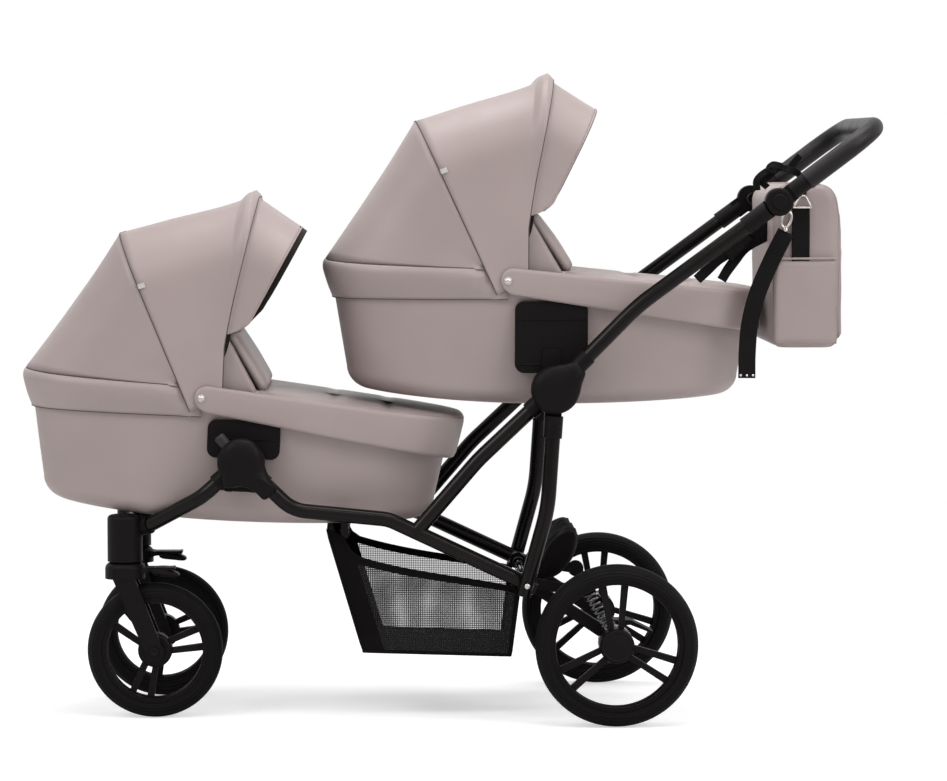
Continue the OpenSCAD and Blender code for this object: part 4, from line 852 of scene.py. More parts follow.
# Wind flap that stands up under the hood, and side gussets that close its ends
def makeWindFlap(which):
    s, g = flapSet, gussetSet
    along = Vector((s["foot"][0] - s["top"][0], 0, s["foot"][1] - s["top"][1]))
    out = cotTurn(which, *Vector((-along.z, 0, along.x)).normalized()).normalized()

    def flapPlace(u, v):
        y = mixed(-s["half"], s["half"], u)
        bow = s["bow"] * (1 - (2 * u - 1) ** 2) * math.sin(math.pi * v)
        return cotPoint(which, s["top"][0] + along.x * v, y, s["top"][1] + along.z * v) + out * bow / 1000, out
    flap = padMesh(which + "WindFlap", flapPlace, lambda u, v: s["thick"], 48, 18, [taupe], edge=0.1, wrinkle=0.0012)
    fasten(flap, which + "_carrycot")
    for side, hand in hands:
        def gussetPlace(u, v, side=side):
            x = mixed(g["near"], mixed(*g["far"], v), u)
            p = cotPoint(which, x, side * (g["out"] - g["lean"] * u), mixed(*g["z"], v))
            return p, Vector((0.2, side, 0)).normalized()
        gusset = padMesh(which + hand.capitalize() + "Gusset", gussetPlace, lambda u, v: g["thick"], 18, 20, [taupe],
                         edge=0.16, wrinkle=0.0012, grain=20)
        fasten(gusset, which + "_carrycot")


mattressSet = {"inset": 34, "gap": 1.2, "tall": 52, "around": 96, "tuft": 2.2, "tuftWide": 34, "under": (80, 0, -150),
               "sizes": (0.9, 0.96, 0.99, 1, 0.99, 0.96, 0.9, 0.75, 0.5, 0.25),
               "ups": (0, 0.06, 0.2, 0.45, 0.7, 0.85, 0.94, 1, 1.03, 1.04)}


def makeMattress(which):
    s, t = mattressSet, tubSet
    rows = []
    for size, up in zip(s["sizes"], s["ups"]):
        row = []
        for a in turns(s["around"]):
            x, y = planPoint(a, t["lowHead"] - s["inset"], t["lowFoot"] - s["inset"], t["lowHalf"] - s["inset"])
            z = bellyZ(x) + t["floor"] + s["gap"] + s["tall"] * up
            px, py = mixed(cotSet["middle"], x, size), y * size
            z += s["tuft"] * up * math.cos(px / s["tuftWide"]) * math.cos(py / s["tuftWide"])
            row.append(cotPoint(which, px, py, z))
        rows.append(row)
    obj = gridMesh(which + "Mattress", rows, [mattressCloth], wrap=True, endCaps=True,
                   outFrom=cotPoint(which, *s["under"]))
    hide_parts(which + "_mattress")
    fasten(obj, which + "_carrycot")


snapSet = {"at": (20, 25), "out": 207.6,
           "profile": [(7.2, 0), (7.2, 0.8), (6.4, 1.4), (5.2, 1.2), (4.6, 1.6), (3.4, 2.6), (1.4, 3.0), (0.3, 3.05)]}
panelSet = {"x": (36, 160), "ribs": {"front": (-45,), "rear": (-45, -125)}, "out": 197.6, "rib": 0.0014}


def makeCotTrim(which):
    s, p = snapSet, panelSet
    for side, hand in hands:
        start = which + hand.capitalize()
        snap = turnedMesh(start + "Snap", cotPoint(which, s["at"][0], side * s["out"], s["at"][1]), (0, side, 0),
                          s["profile"], [plate], sides=32)
        fasten(snap, which + "_carrycot")
        for z in p["ribs"][which]:
            path = [cotPoint(which, mixed(*p["x"], k / 8), side * p["out"], z) for k in range(9)]
            rib = tubeMesh(start + "PanelRib" + str(abs(z)), path, p["rib"], [moulding], sides=8)
            fasten(rib, which + "_carrycot")


for which in ("front", "rear"):
    makeTub(which)
    makeCollar(which)
    makeHood(which)
    makeApronSkirt(which)
    makeApronCover(which)
    makeWindFlap(which)
    makeMattress(which)
    makeCotTrim(which)
print("carrycots ready")

# Basket under the frame

basketSet = {"frontTop": (-222, 342), "frontFoot": (-157, 121), "rearFoot": (108, 113), "rearTop": (123, 236),
             "half": 185, "taper": 14, "bulge": 7, "band": 0.035, "hem": 0.93, "strip": 0.15, "netEnd": 0.97, "dip": 31,
             "sag": 4, "wall": 2, "piping": 0.0026, "panel": 0.0016, "floor": 0.0024, "floorSag": 3,
             "ends": {"Front": (0, -6), "Rear": (1, 3)}}
loopSet = {"at": {"Front": (-190, 333), "Rear": (134, 248)}, "y": (-140, -60, 60, 140), "r": 9, "wide": 0.02,
           "thick": 0.0016}
lipSet = {"half": 143, "x": (148, 226), "z": (246, 333), "belly": 10, "wave": 3, "waveWide": 19, "lift": 2,
          "liftWide": 15, "out": (-0.72, 0, 0.69), "thin": 14, "fat": 34}


def basketSide(u, v):
    s = basketSet
    low = (mixed(s["frontFoot"][0], s["rearFoot"][0], u), mixed(s["frontFoot"][1], s["rearFoot"][1], u))
    high = (mixed(s["frontTop"][0], s["rearTop"][0], u), mixed(s["frontTop"][1], s["rearTop"][1], u))
    dip = s["dip"] * smooth(0.06, s["strip"], u) * (1 - smooth(0.1, 1.1, u))
    return mixed(low[0], high[0], v), mixed(low[1], high[1], v) - (dip + s["sag"] * math.sin(math.pi * u)) * v


def basketHalf(u, v):
    s = basketSet
    edge = math.sin(math.pi * u) * math.sin(math.pi * v)
    return s["half"] - s["taper"] * (1 - v) - s["wall"] + s["bulge"] * edge


def basketPoint(u, v, side):
    x, z = basketSide(u, v)
    return mm(x, side * basketHalf(u, v), z)


def makeBasketPanels():
    s = basketSet
    nu, nv = 48, 40

    def band(i, j):
        u, v = (i + 0.5) / nu, (j + 0.5) / nv
        return 1 if s["strip"] < u < s["netEnd"] and s["band"] < v < s["hem"] else 0
    outline = [(u / 24, 0) for u in range(25)] + [(1, v / 16) for v in range(1, 17)]
    outline += [(1 - u / 24, 1) for u in range(1, 25)] + [(0, 1 - v / 16) for v in range(1, 16)]
    for side, hand in hands:
        name = "basket" + hand.capitalize()
        rows = [[basketPoint(i / nu, j / nv, side) for j in range(nv + 1)] for i in range(nu + 1)]
        panel = gridMesh(name + "Side", rows, [basketCloth, net], band=band)
        fasten(panel, "chassis")
        declareSheet(rows)
        pipe = tubeMesh(name + "Piping", [basketPoint(u, v, side) for u, v in outline], s["piping"], [basketCloth],
                        sides=8, closed=True)
        fasten(pipe, "chassis")
    for name, (u, belly) in s["ends"].items():
        rows = []
        for i in range(33):
            y = mixed(-1, 1, i / 32)
            row = []
            for j in range(21):
                x, z = basketSide(u, j / 20)
                bag = (1 - y * y) * math.sin(math.pi * j / 20)
                row.append(mm(x + belly * bag, y * basketHalf(u, j / 20), z - s["sag"] * (1 - y * y) * j / 20))
            rows.append(row)
        panel = gridMesh("basket" + name + "Panel", rows, [basketCloth])
        addSolidify(panel, s["panel"], offset=0)
        fasten(panel, "chassis")
        declareSheet(rows)
    rows = []
    for i in range(41):
        row = []
        for j in range(25):
            u, y = i / 40, mixed(-1, 1, j / 24)
            x, z = basketSide(u, 0)
            dip = (1 - y * y) * math.sin(math.pi * u)
            row.append(mm(x, y * basketHalf(u, 0), z - s["floorSag"] * dip))
        rows.append(row)
    floor = gridMesh("basketFloor", rows, [basketCloth])
    addSolidify(floor, s["floor"], offset=1)
    fasten(floor, "chassis")
    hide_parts("basket")
    declareSheet(rows)


def makeBasket():
    makeBasketPanels()
    # Loops on the bar and the shaft
    s, r = loopSet, loopSet["r"]
    for end, (x, z) in s["at"].items():
        for y in s["y"]:
            ring = [mm(x + r * math.cos(a * math.pi / 12), y, z + r * math.sin(a * math.pi / 12)) for a in range(25)]
            loop = strapMesh("basketLoop{}_{}".format(end, y), ring, s["wide"], s["thick"], (0, 1, 0), [webbing])
            fasten(loop, "chassis")

    # Folded rear lip, gathered and wrinkled
    def lipPlace(u, v):
        p = lipSet
        y = mixed(-p["half"], p["half"], u)
        x = mixed(*p["x"], v) + p["belly"] * math.sin(math.pi * v) + p["wave"] * math.sin(y / p["waveWide"]) * v
        z = mixed(*p["z"], v) + p["lift"] * math.cos(y / p["liftWide"])
        return mm(x, y, z), Vector(p["out"])

    def lipThick(u, v):
        return (lipSet["thin"] + lipSet["fat"] * math.sin(math.pi * v) ** 0.8) / 1000
    lip = padMesh("basketLip", lipPlace, lipThick, 72, 22, [basketCloth], edge=0.08, wrinkle=0.006, grain=26)
    fasten(lip, "chassis")


makeBasket()
print("basket ready")

# Springs, as fixed coils on the chassis

springSet = {"top": (246, 229), "foot": (279, 174), "y": 212, "radius": 9.2, "wire": 1.6, "turns": 7}


def makeSprings():
    s = springSet
    top, foot = Vector((s["top"][0], 0, s["top"][1])), Vector((s["foot"][0], 0, s["foot"][1]))
    along = (foot - top).normalized()
    side = Vector((along.z, 0, -along.x))
    for sign, name in hands:
        points = []
        count = s["turns"] * 24
        for k in range(count + 1):
            a = 2 * math.pi * s["turns"] * k / count
            p = mixed(top, foot, k / count) + side * s["radius"] * math.cos(a)
            points.append(mm(p.x, sign * (s["y"] + s["radius"] * math.sin(a)), p.z))
        coil = tubeMesh(name + "Spring", points, s["wire"] / 1000, [springSteel], sides=10)
        fasten(coil, "chassis")
        if sign < 0:
            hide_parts("springs")
        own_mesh(coil)


makeSprings()
print("springs ready")

# Handle bag

bagSet = {"x": (573, 701), "z": (670, 960), "half": 184, "around": 120, "planPower": 6, "sidePower": 9, "topRound": 30,
          "footRound": 16, "corner": 0.74, "ripple": 2.4, "sag": 5, "middle": (637, 0, 815), "trim": 0.002,
          "footSteps": (0, 0.6, 2, 4.5, 8, 12, 16), "topSteps": (30, 24, 18, 13, 9, 5.5, 3, 1.2, 0.2)}
pocketSet = {"x": (579, 692), "z": (675, 827), "out": 181, "swell": 3, "thin": 11, "fat": 9,
             "edgeX": (581, 690), "edgeOut": 187, "edgeSwell": 4, "edgeZ": 828}
backSet = {"x": 698, "half": 160, "z": (684, 850), "thick": 0.014}
zipSet = {"x": 637, "z": 958.5, "half": 150, "r": 0.0024, "pullY": -146, "pullZ": 959.5, "pullWide": 0.006,
          "pullThick": 0.002}


def roundIn(off, r):
    return r - math.sqrt(r * r - (r - off) ** 2) if off < r else 0


def bagPoint(a, z):
    s = bagSet
    inset = roundIn(s["z"][1] - z, s["topRound"]) + roundIn(z - s["z"][0], s["footRound"])
    cx, hx = sum(s["x"]) / 2, (s["x"][1] - s["x"][0]) / 2
    x = cx + (hx - inset) * rounded(math.cos(a), s["planPower"])
    y = (s["half"] - inset * 0.45) * rounded(math.sin(a), s["sidePower"])
    p = Vector((x, y, z)) / 1000
    level = (z - s["z"][0]) / (s["z"][1] - s["z"][0])
    push = s["ripple"] * (noise.noise(p * 9) + 0.5 * noise.noise(p * 21))
    # The back is fullest a little over its middle
    full = 4 * math.exp(-((level - 0.58) / 0.26) ** 2) - 8 * smooth(0.74, 0.96, level)
    full -= 3 * (1 - smooth(0, 0.25, level))
    bulge = max(0, math.cos(a)) * full
    sag = s["sag"] * smooth(0.7, 1, level) * (1 - (y / s["half"]) ** 2)
    return mm(x + math.cos(a) * push + bulge, y + math.sin(a) * push * 0.6, z - sag)


# A closed line up the bag's own corners and over its side
def bagSideLine(side, heights):
    a, b = bagSet["corner"], math.pi - bagSet["corner"]
    over = [mixed(a, b, k / 24) for k in range(1, 24)]
    points = [(a, z) for z in heights] + [(t, heights[-1]) for t in over]
    points += [(b, z) for z in heights[::-1]] + [(t, heights[0]) for t in over[::-1]]
    return [bagPoint(side * t, z) for t, z in points]


def makeBag():
    s, p = bagSet, pocketSet
    n = s["around"]
    low, high = s["z"]
    first, last = low + s["footSteps"][-1], high - s["topSteps"][0]
    heights = [low + d for d in s["footSteps"]] + [mixed(first, last, i / 9) for i in range(1, 9)]
    heights += [high - d for d in s["topSteps"]]
    rows = [[bagPoint(2 * math.pi * (k + 0.5) / n, z) for k in range(n)] for z in heights]
    body = gridMesh("bagBody", rows, [taupe], wrap=True, endCaps=True, outFrom=mm(*s["middle"]))
    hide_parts("bag_body")
    fasten(body, "bag")
    # Side pockets with a bound top edge, and a wide pocket on the back
    for side, hand in hands:
        name = "bag" + hand.capitalize()

        def place(u, v, side=side):
            out = p["out"] + p["swell"] * math.sin(math.pi * u) ** 0.5
            return mm(mixed(*p["x"], u), side * out, mixed(*p["z"], v)), Vector((0, side, 0))

        def thick(u, v):
            return (p["thin"] + p["fat"] * math.sin(math.pi * u) * (1 - 0.3 * v)) / 1000
        pocket = padMesh(name + "Pocket", place, thick, 28, 28, [taupe], edge=0.09, wrinkle=0.0015, grain=18)
        fasten(pocket, "bag")
        path = [mm(mixed(*p["edgeX"], k / 20), side * (p["edgeOut"] + p["edgeSwell"] * math.sin(math.pi * k / 20)),
                   p["edgeZ"]) for k in range(21)]
        fasten(tubeMesh(name + "PocketEdge", path, s["trim"], [taupe], sides=8), "bag")
        pipe = tubeMesh(name + "Piping", bagSideLine(side, heights), s["trim"], [taupe], sides=8, closed=True)
        fasten(pipe, "bag")

    def backPlace(u, v):
        b = backSet
        return mm(b["x"], mixed(-b["half"], b["half"], u), mixed(*b["z"], v)), Vector((1, 0, 0))
    back = padMesh("bagBackPocket", backPlace, lambda u, v: backSet["thick"], 40, 24, [taupe], edge=0.07,
                   wrinkle=0.0018, grain=16)
    fasten(back, "bag")
    # Zip along the top
    t = zipSet
    path = [mm(t["x"], y, t["z"] - s["sag"] * (1 - (y / s["half"]) ** 2)) for y in range(-t["half"], t["half"] + 1, 10)]
    fasten(tubeMesh("bagZip", path, t["r"], [webbing], sides=8), "bag")
    path = [mm(t["x"] + 2 * k, t["pullY"], t["pullZ"] - 1.5 * k) for k in range(12)]
    fasten(strapMesh("bagZipPull", path, t["pullWide"], t["pullThick"], (0, 1, 0), [plate]), "bag")


makeBag()
print("bag ready")

# Straps, rings and clips of the bag


# A point on the smooth curve from b to c, whose neighbours are a and d
def curvePoint(a, b, c, d, t):
    return 0.5 * (2 * b + (c - a) * t + (2 * a - 5 * b + 4 * c - d) * t ** 2 + (3 * b - a - 3 * c + d) * t ** 3)


# A smooth line through a few points
def eased(points, count):
    points = [Vector(p) for p in points]
    ends = [points[0] * 2 - points[1]] + points + [points[-1] * 2 - points[-2]]
    line = [curvePoint(*ends[i - 1:i + 3], k / count) for i in range(1, len(ends) - 2) for k in range(count)]
    return line + [points[-1]]


strapSet = {
    "peg": (579.8, 930), "y": 190.5, "loopR": 10.4, "loopWide": 0.0145, "loopThick": 0.002,
    "drop": {"x": 626, "out": 187, "bow": 1.6, "z": (920, 822), "wide": 0.032},
    "lift": {"x": (630, 615), "out": 188, "z": (940, 966), "wide": 0.016, "thick": 0.0022},
    "ring": {"out": 189.2, "corners": ((612, 919), (645, 919), (634, 940), (625, 940)), "wire": 0.0018},
    "hook": {"at": (600, 898), "wide": 8.5, "lean": 3, "tall": 14, "wire": 0.0026, "off": 0.8},
    "swivel": {"at": (598, 876), "profile": [(3, 0), (4.8, 1), (4.8, 5), (3.4, 7), (2.6, 9)]},
    "hang": [(599, 876), (574, 826), (549, 767), (535, 712), (530.5, 660), (530, 614)], "hangWide": 0.031,
    "hangOff": 0.4, "thick": 0.0024,
    "studs": {"x": (519, 530, 541), "z": 619, "off": 1.6, "profile": [(2.2, 0), (2.0, 0.7), (0.3, 1)]},
    "wide": {"ties": 0.0125, "tails": 0.019}, "tieThick": 0.0016,
    # Routes as x, z and y
    "ties": [[(546, 950, -200), (545, 968, -203), (560, 983, -206), (580, 990, -206), (602, 989, -204),
              (611, 999, -203), (622, 1012, -202)],
             [(583, 989, -202), (568, 976, -199), (556, 965, -198), (565, 955, -196)],
             [(598, 989, -208), (613, 983, -209), (625, 973, -208), (632, 962, -205)],
             [(590, 992, -209), (574, 996, -208), (566, 988, -210), (580, 985, -211)]],
    "tails": [[(578, 884, -120), (540, 866, -122), (513, 841, -124), (484, 823, -124), (462, 803, -122),
               (446, 788, -121)],
              [(576, 868, -118), (536, 846, -119), (515, 823, -119), (501, 804, -118), (491, 787, -117)]],
}
buckleSet = {"x": (540, 500), "z": (870, 827), "y": -124, "half": 15, "taper": 0.25, "thick": 0.009, "groove": 0.003,
             "grooveAt": (0.44, 0.56)}


def makeBagClips():
    s = strapSet
    px, pz = s["peg"]
    drop, lift, ring, hook = s["drop"], s["lift"], s["ring"], s["hook"]
    for side, hand in hands:
        name = "bag" + hand.capitalize()
        path = [mm(px + s["loopR"] * math.cos(a), side * s["y"], pz + s["loopR"] * math.sin(a))
                for a in [math.pi / 16 * k for k in range(33)]]
        fasten(strapMesh(name + "Loop", path, s["loopWide"], s["loopThick"], (0, 1, 0), [webbing]), "bag")
        path = [mm(drop["x"], side * (drop["out"] + drop["bow"] * math.sin(math.pi * k / 12)),
                   mixed(*drop["z"], k / 12)) for k in range(13)]
        fasten(strapMesh(name + "Strap", path, drop["wide"], s["thick"], (1, 0, 0), [webbing]), "bag")
        path = [mm(mixed(*lift["x"], k / 6), side * lift["out"], mixed(*lift["z"], k / 6)) for k in range(7)]
        strap = strapMesh(name + "StrapTop", path, lift["wide"], lift["thick"], (1, 0, 0.5), [webbing])
        fasten(strap, "bag")
        corners = [mm(x, side * ring["out"], z) for x, z in ring["corners"]]
        path = [mixed(corners[i], corners[(i + 1) % 4], k / 5) for i in range(4) for k in range(5)]
        wire = tubeMesh(name + "Ring", path, ring["wire"], [plate], sides=10, closed=True)
        if side < 0:
            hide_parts("bag_clips")
        fasten(wire, "bag")
        y = side * (s["y"] + hook["off"])
        path = [mm(hook["at"][0] + hook["wide"] * math.sin(a) + hook["lean"] * math.cos(a), y,
                   hook["at"][1] + hook["tall"] * math.cos(a)) for a in turns(40)]
        fasten(tubeMesh(name + "Hook", path, hook["wire"], [plate], sides=10, closed=True), "bag")
        x, z = s["swivel"]["at"]
        gate = turnedMesh(name + "Swivel", mm(x, y, z), (0.1, 0, 1), s["swivel"]["profile"], [plate], sides=20)
        fasten(gate, "bag")


def makeBagStraps():
    s, studs, b = strapSet, strapSet["studs"], buckleSet
    makeBagClips()
    path = eased([mm(x, -s["y"] - s["hangOff"], z) for x, z in s["hang"]], 8)
    hang = strapMesh("bagHangStrap", path, s["hangWide"], s["thick"], (1, 0, -0.3), [webbing])
    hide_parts("bag_straps")
    fasten(hang, "bag")
    spread(path)
    for k, x in enumerate(studs["x"]):
        stud = turnedMesh("bagStrapStud" + str(k), mm(x, -s["y"] - studs["off"], studs["z"]), (0, -1, 0),
                          studs["profile"], [plate], sides=16)
        fasten(stud, "bag")
    for group, wide in s["wide"].items():
        for k, route in enumerate(s[group]):
            path = eased([mm(x, y, z) for x, z, y in route], 6)

            def across(t, ahead, k=k):
                turn = 0.5 * math.sin(4 * t + k)
                return ahead.cross(Vector((0, 1, 0))) * math.cos(turn) + Vector((0, 1, 0)) * math.sin(turn)
            tie = strapMesh("bag" + group.capitalize() + str(k), path, wide, s["tieThick"], across, [webbing])
            fasten(tie, "bag")
            spread(path)

    # Side-release buckle on the hanging tail
    def bucklePlace(u, v):
        off = mixed(-b["half"], b["half"], v) * (1 - b["taper"] * u)
        return mm(mixed(*b["x"], u) + 0.72 * off, b["y"], mixed(*b["z"], u) - 0.69 * off), Vector((0, -1, 0))

    def buckleThick(u, v):
        return b["thick"] - b["groove"] * (1 if b["grooveAt"][0] < u < b["grooveAt"][1] else 0)
    buckle = padMesh("bagBuckle", bucklePlace, buckleThick, 24, 16, [moulding], edge=0.2)
    fasten(buckle, "bag")


makeBagStraps()
print("bag straps ready")

# Small rigid details

capSet = {"out": 299.6, "profile": [(29, 0), (29, 1.2), (27, 2.4), (24.5, 2.2), (23.8, 1.4), (22, 1.6), (16, 3.4),
                                    (8, 4.2), (0.4, 4.4)]}
boltSet = {"out": 177, "profile": [(8.4, 0), (8.4, 1.4), (7, 2.4), (4, 2.2), (3.6, 1.2), (0.3, 1.2)]}
rivetSet = {"at": (134, 248), "face": 260.5, "profile": [(5, 0), (5, 0.8), (4.2, 1.6), (2.4, 2.2), (0.3, 2.4)]}
leverSet = {"x": (-540, -488), "z": (266, 260), "y": 139, "half": 19, "thick": 0.017, "taper": 0.3, "droop": 3}
shellSet = {
    # Outlines in mm round the hub's middle, as x and z
    "hub": [(0, 43), (-20, 38), (-33, 21), (-34, -4), (-33, -28), (-30, -43), (-16, -44), (0, -43), (14, -46),
            (28, -55), (41, -66), (54, -58), (64, -46), (53, -30), (45, -14), (40, 6), (34, 24), (20, 38)],
    "fold": [(-41, -2), (-38, 16), (-27, 31), (-8, 41.5), (14, 46), (40, 51), (49, 41), (54, 29), (48, 10), (44, -8),
             (36, -25), (20, -38), (0, -43), (-20, -38), (-35, -22)],
    "hubAt": (-374, 468), "hubFace": 250, "foldAt": (183, 597), "foldFace": 262,
    # Steps in from the edge, with the height over the hub's face
    "steps": [(0, -20), (0, -8), (0.7, -4.6), (2.2, -1.6), (5, 1), (9, 3.2), (14.5, 5), (22, 6.4)], "top": 7.4,
    "behind": 10,
}
buttonSet = {"out": 229.5, "lean": (-0.65, 0.76), "steps": (36, 42, 50, 57, 60.5, 62), "r": 0.0101, "tipFrom": 0.75,
             "tip": 0.018}
gripSet = {"at": (579.8, 930), "angle": 37, "span": (66, 150, 6), "out": 247.5, "r": 17.5, "seam": 0.0011}
wheelSet = {
    "rear": {"at": (292, 280, 145), "r": 145, "w": 44, "bead": 119.6},
    "front": {"at": (-532.5, 139, 122), "r": 122, "w": 40, "bead": 96.6},
    "ribs": (0.3, 0.52, 0.74), "ribHigh": 1.0, "ribWide": 0.055, "tread": 2.5, "skin": 0.25, "lip": 0.0013,
    "rimDeep": 9, "rimIn": 0.4, "rimHalf": 15,
}


# A moulded shell over a hub, crowned from its outline
def shellMesh(name, kind, side):
    s = shellSet
    at, face = s[kind + "At"], s[kind + "Face"]
    outline = [Vector(p) for p in s[kind]]
    count = len(outline)
    line = []
    for k in range(count):
        near = [outline[(k + n) % count] for n in (-1, 0, 1, 2)]
        line += [curvePoint(*near, n / 5) for n in range(5)]
    middle = sum(line, Vector((0, 0))) / len(line)
    rows = []
    for step, high in s["steps"] + [(None, s["top"])]:
        row = []
        for p in line:
            away = p - middle
            share = 0.02 if step is None else max(0.05, 1 - step / away.length)
            q = middle + away * share
            row.append(mm(at[0] + q.x, side * (face + high), at[1] + q.y))
        rows.append(row)
    return gridMesh(name, rows, [moulding], wrap=True, endCaps=True,
                    outFrom=mm(at[0] + middle.x, side * (face - s["behind"]), at[1] + middle.y))


# Sidewall as radius and height, with round ribs
def sidewallProfile(s):
    w = wheelSet
    profile = []
    for k in range(49):
        t = k / 48
        r = mixed(s["bead"], s["r"] - w["tread"], t)
        wall = math.sqrt(max(0.0, (s["w"] / 2) ** 2 - (r - s["r"] + s["w"] / 2) ** 2))
        rib = sum(max(0.0, 1 - ((t - at) / w["ribWide"]) ** 2) for at in w["ribs"])
        profile.append((r, wall + w["skin"] + w["ribHigh"] * rib))
    return profile


# Ribbed sidewalls and the satin edge of each rim
def makeWheelTrim():
    w = wheelSet
    for end in ("rear", "front"):
        s = w[end]
        edge = s["bead"] - w["rimDeep"] - w["rimIn"]
        for side, hand in hands:
            middle = mm(s["at"][0], side * s["at"][1], s["at"][2])
            body = "{}_{}_wheel".format(hand, end)
            for face, word in ((-1, "Inner"), (1, "Outer")):
                name = hand + end.capitalize() + word
                skin = turnedMesh(name + "Sidewall", middle, (0, side * face, 0), sidewallProfile(s), [rubber],
                                  sides=96, caps=False)
                fasten(skin, body)
                y = side * face * w["rimHalf"]
                ring = [middle + mm(edge * math.cos(a * math.pi / 48), y, edge * math.sin(a * math.pi / 48))
                        for a in range(96)]
                lip = tubeMesh(name + "RimEdge", ring, w["lip"], [paint], sides=8, closed=True)
                fasten(lip, body)


def makeTrim():
    makeWheelTrim()
    rear, front = wheelSet["rear"]["at"], wheelSet["front"]["at"]
    for side, hand in hands:
        out = (0, side, 0)
        cap = turnedMesh(hand + "RearCap", mm(rear[0], side * capSet["out"], rear[2]), out, capSet["profile"],
                         [moulding])
        fasten(cap, hand + "_rear_wheel")
        bolt = turnedMesh(hand + "ForkBolt", mm(front[0], side * boltSet["out"], front[2]), out, boltSet["profile"],
                          [moulding], sides=32)
        fasten(bolt, hand + "_fork")
        x, z = rivetSet["at"]
        rivet = turnedMesh(hand + "LegRivet", mm(x, side * rivetSet["face"], z), out, rivetSet["profile"], [plate],
                           sides=28)
        fasten(rivet, "chassis")

        # Foot pad of the swivel lock lever
        def leverPlace(u, v, side=side):
            s = leverSet
            y = side * s["y"] + mixed(-s["half"], s["half"], v) * (1 - s["taper"] * u * u)
            return mm(mixed(*s["x"], u), y, mixed(*s["z"], u) - s["droop"] * u * u), Vector((0.1, 0, 1))
        pad = padMesh(hand + "LeverPad", leverPlace, lambda u, v: leverSet["thick"] * (1 - 0.4 * u), 20, 16, [moulding],
                      edge=0.3)
        fasten(pad, hand + "_lock")
        fasten(shellMesh(hand + "FoldShell", "fold", side), "handle")
        fasten(shellMesh(hand + "HubShell", "hub", side), "chassis")
        # Grey release button on the front hub, rounded at its tip
        b, (x, z) = buttonSet, shellSet["hubAt"]
        path = [mm(x + t * b["lean"][0], side * b["out"], z + t * b["lean"][1]) for t in b["steps"]]
        radius = lambda u: b["r"] - max(0, u - b["tipFrom"]) * b["tip"]
        button = tubeMesh(hand + "HubButton", path, radius, [greyPlastic], sides=24)
        fasten(button, "chassis")
    # Stitched seam under the grip
    g, turn = gripSet, math.radians(gripSet["angle"])
    line = [(g["at"][0] + d * math.cos(turn), g["at"][1] + d * math.sin(turn)) for d in range(*g["span"])]
    for side, hand in hands:
        path = [mm(x, side * (g["out"] - g["r"]), z) for x, z in line]
        fasten(tubeMesh(hand + "GripSeam", path, g["seam"], [gripSkin], sides=6), "grip")


makeTrim()
print("trim ready")

# Studio

studioSet = {
    "world": 0.42, "floor": 0.86, "floorSize": 60, "floorZ": -0.0005, "rough": 0.9, "spec": 0.1, "glow": 0.45,
    "reach": 3.2,
    # Each lamp's place, aim, size and power
    "lamps": {"keyLight": ((-3.2, -2.6, 3.6), (-0.1, 0, 0.6), (2.6, 2), 73),
              "fillLight": ((3.6, -2.8, 3.0), (0.1, 0, 0.6), (2.6, 2), 71),
              "topLight": ((0.2, 0.2, 4.0), (0.1, 0, 0.6), (3, 2.4), 98),
              "edgeLight": ((0.7, -2.3, 3.3), (0.1, 0, 0.6), (3.6, 0.16), 24)},
}


def addArea(name, place, aim, size, energy):
    data = bpy.data.lights.new(name, "AREA")
    data.shape = "RECTANGLE"
    data.size, data.size_y = size
    data.energy = energy
    lamp = bpy.data.objects.new(name, data)
    scene.collection.objects.link(lamp)
    lamp.location = place
    lamp.rotation_euler = (Vector(aim) - Vector(place)).to_track_quat("-Z", "Y").to_euler()


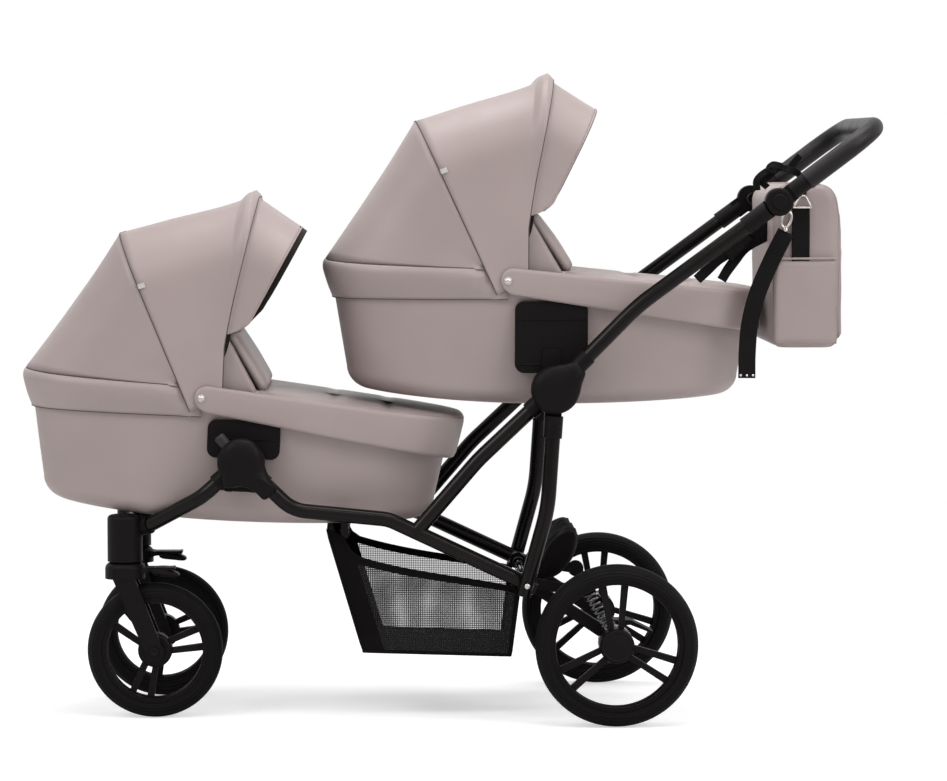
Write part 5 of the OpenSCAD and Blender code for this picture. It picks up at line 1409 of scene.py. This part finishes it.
# Soft light on the part, and plain white where the camera or a reflection sees past it
def makeWorld():
    world = bpy.data.worlds.new("studio")
    scene.world = world
    world.use_nodes = True
    tree = world.node_tree
    tree.nodes.clear()
    light, white = (addNode(tree, "Background", {}, {"Color": (1, 1, 1, 1), "Strength": strength}).outputs[0]
                    for strength in (studioSet["world"], 1))
    rays = addNode(tree, "LightPath").outputs
    seen = mathNode(tree, "MAXIMUM", rays["Is Camera Ray"], rays["Is Glossy Ray"])
    seen = mathNode(tree, "MAXIMUM", seen, rays["Is Transmission Ray"])
    both = addNode(tree, "MixShader", {}, {}, {"Fac": seen, 1: light, 2: white})
    addNode(tree, "OutputWorld", {}, {}, {"Surface": both.outputs[0]})


# Pale floor that keeps a soft shadow and fades to white
def makeFloor():
    s = studioSet
    bm = bmesh.new()
    bmesh.ops.create_grid(bm, x_segments=2, y_segments=2, size=s["floorSize"])
    mesh = bpy.data.meshes.new("studioFloor")
    bm.to_mesh(mesh)
    bm.free()
    floor = bpy.data.objects.new("studioFloor", mesh)
    scene.collection.objects.link(floor)
    floor.location.z = s["floorZ"]
    mat, tree, shader = makeMaterial("paleFloor", {
        "Base Color": (s["floor"],) * 3 + (1,), "Roughness": s["rough"], "Specular IOR Level": s["spec"],
    })
    plain = shader.outputs[0]
    glow, white = (addNode(tree, "Emission", {}, {"Strength": strength}).outputs[0] for strength in (s["glow"], 1))
    lit = addNode(tree, "AddShader", {}, {}, {0: plain, 1: glow})
    place = addNode(tree, "TexCoord").outputs["Object"]
    shrink = addNode(tree, "Mapping", {}, {"Scale": (1 / s["reach"],) * 3}, {"Vector": place})
    fade = addNode(tree, "TexGradient", {"gradient_type": "SPHERICAL"}, {}, {"Vector": shrink.outputs["Vector"]})
    near = addNode(tree, "MixShader", {}, {}, {"Fac": fade.outputs["Fac"], 1: white, 2: lit.outputs[0]})
    seen = addNode(tree, "LightPath").outputs["Is Camera Ray"]
    pick = addNode(tree, "MixShader", {}, {}, {"Fac": seen, 1: plain, 2: near.outputs[0]})
    tree.links.new(pick.outputs[0], tree.nodes["Material Output"].inputs["Surface"])
    mesh.materials.append(mat)


def makeStudio():
    makeWorld()
    makeFloor()
    for name, values in studioSet["lamps"].items():
        addArea(name, *values)


makeStudio()
print("studio ready")
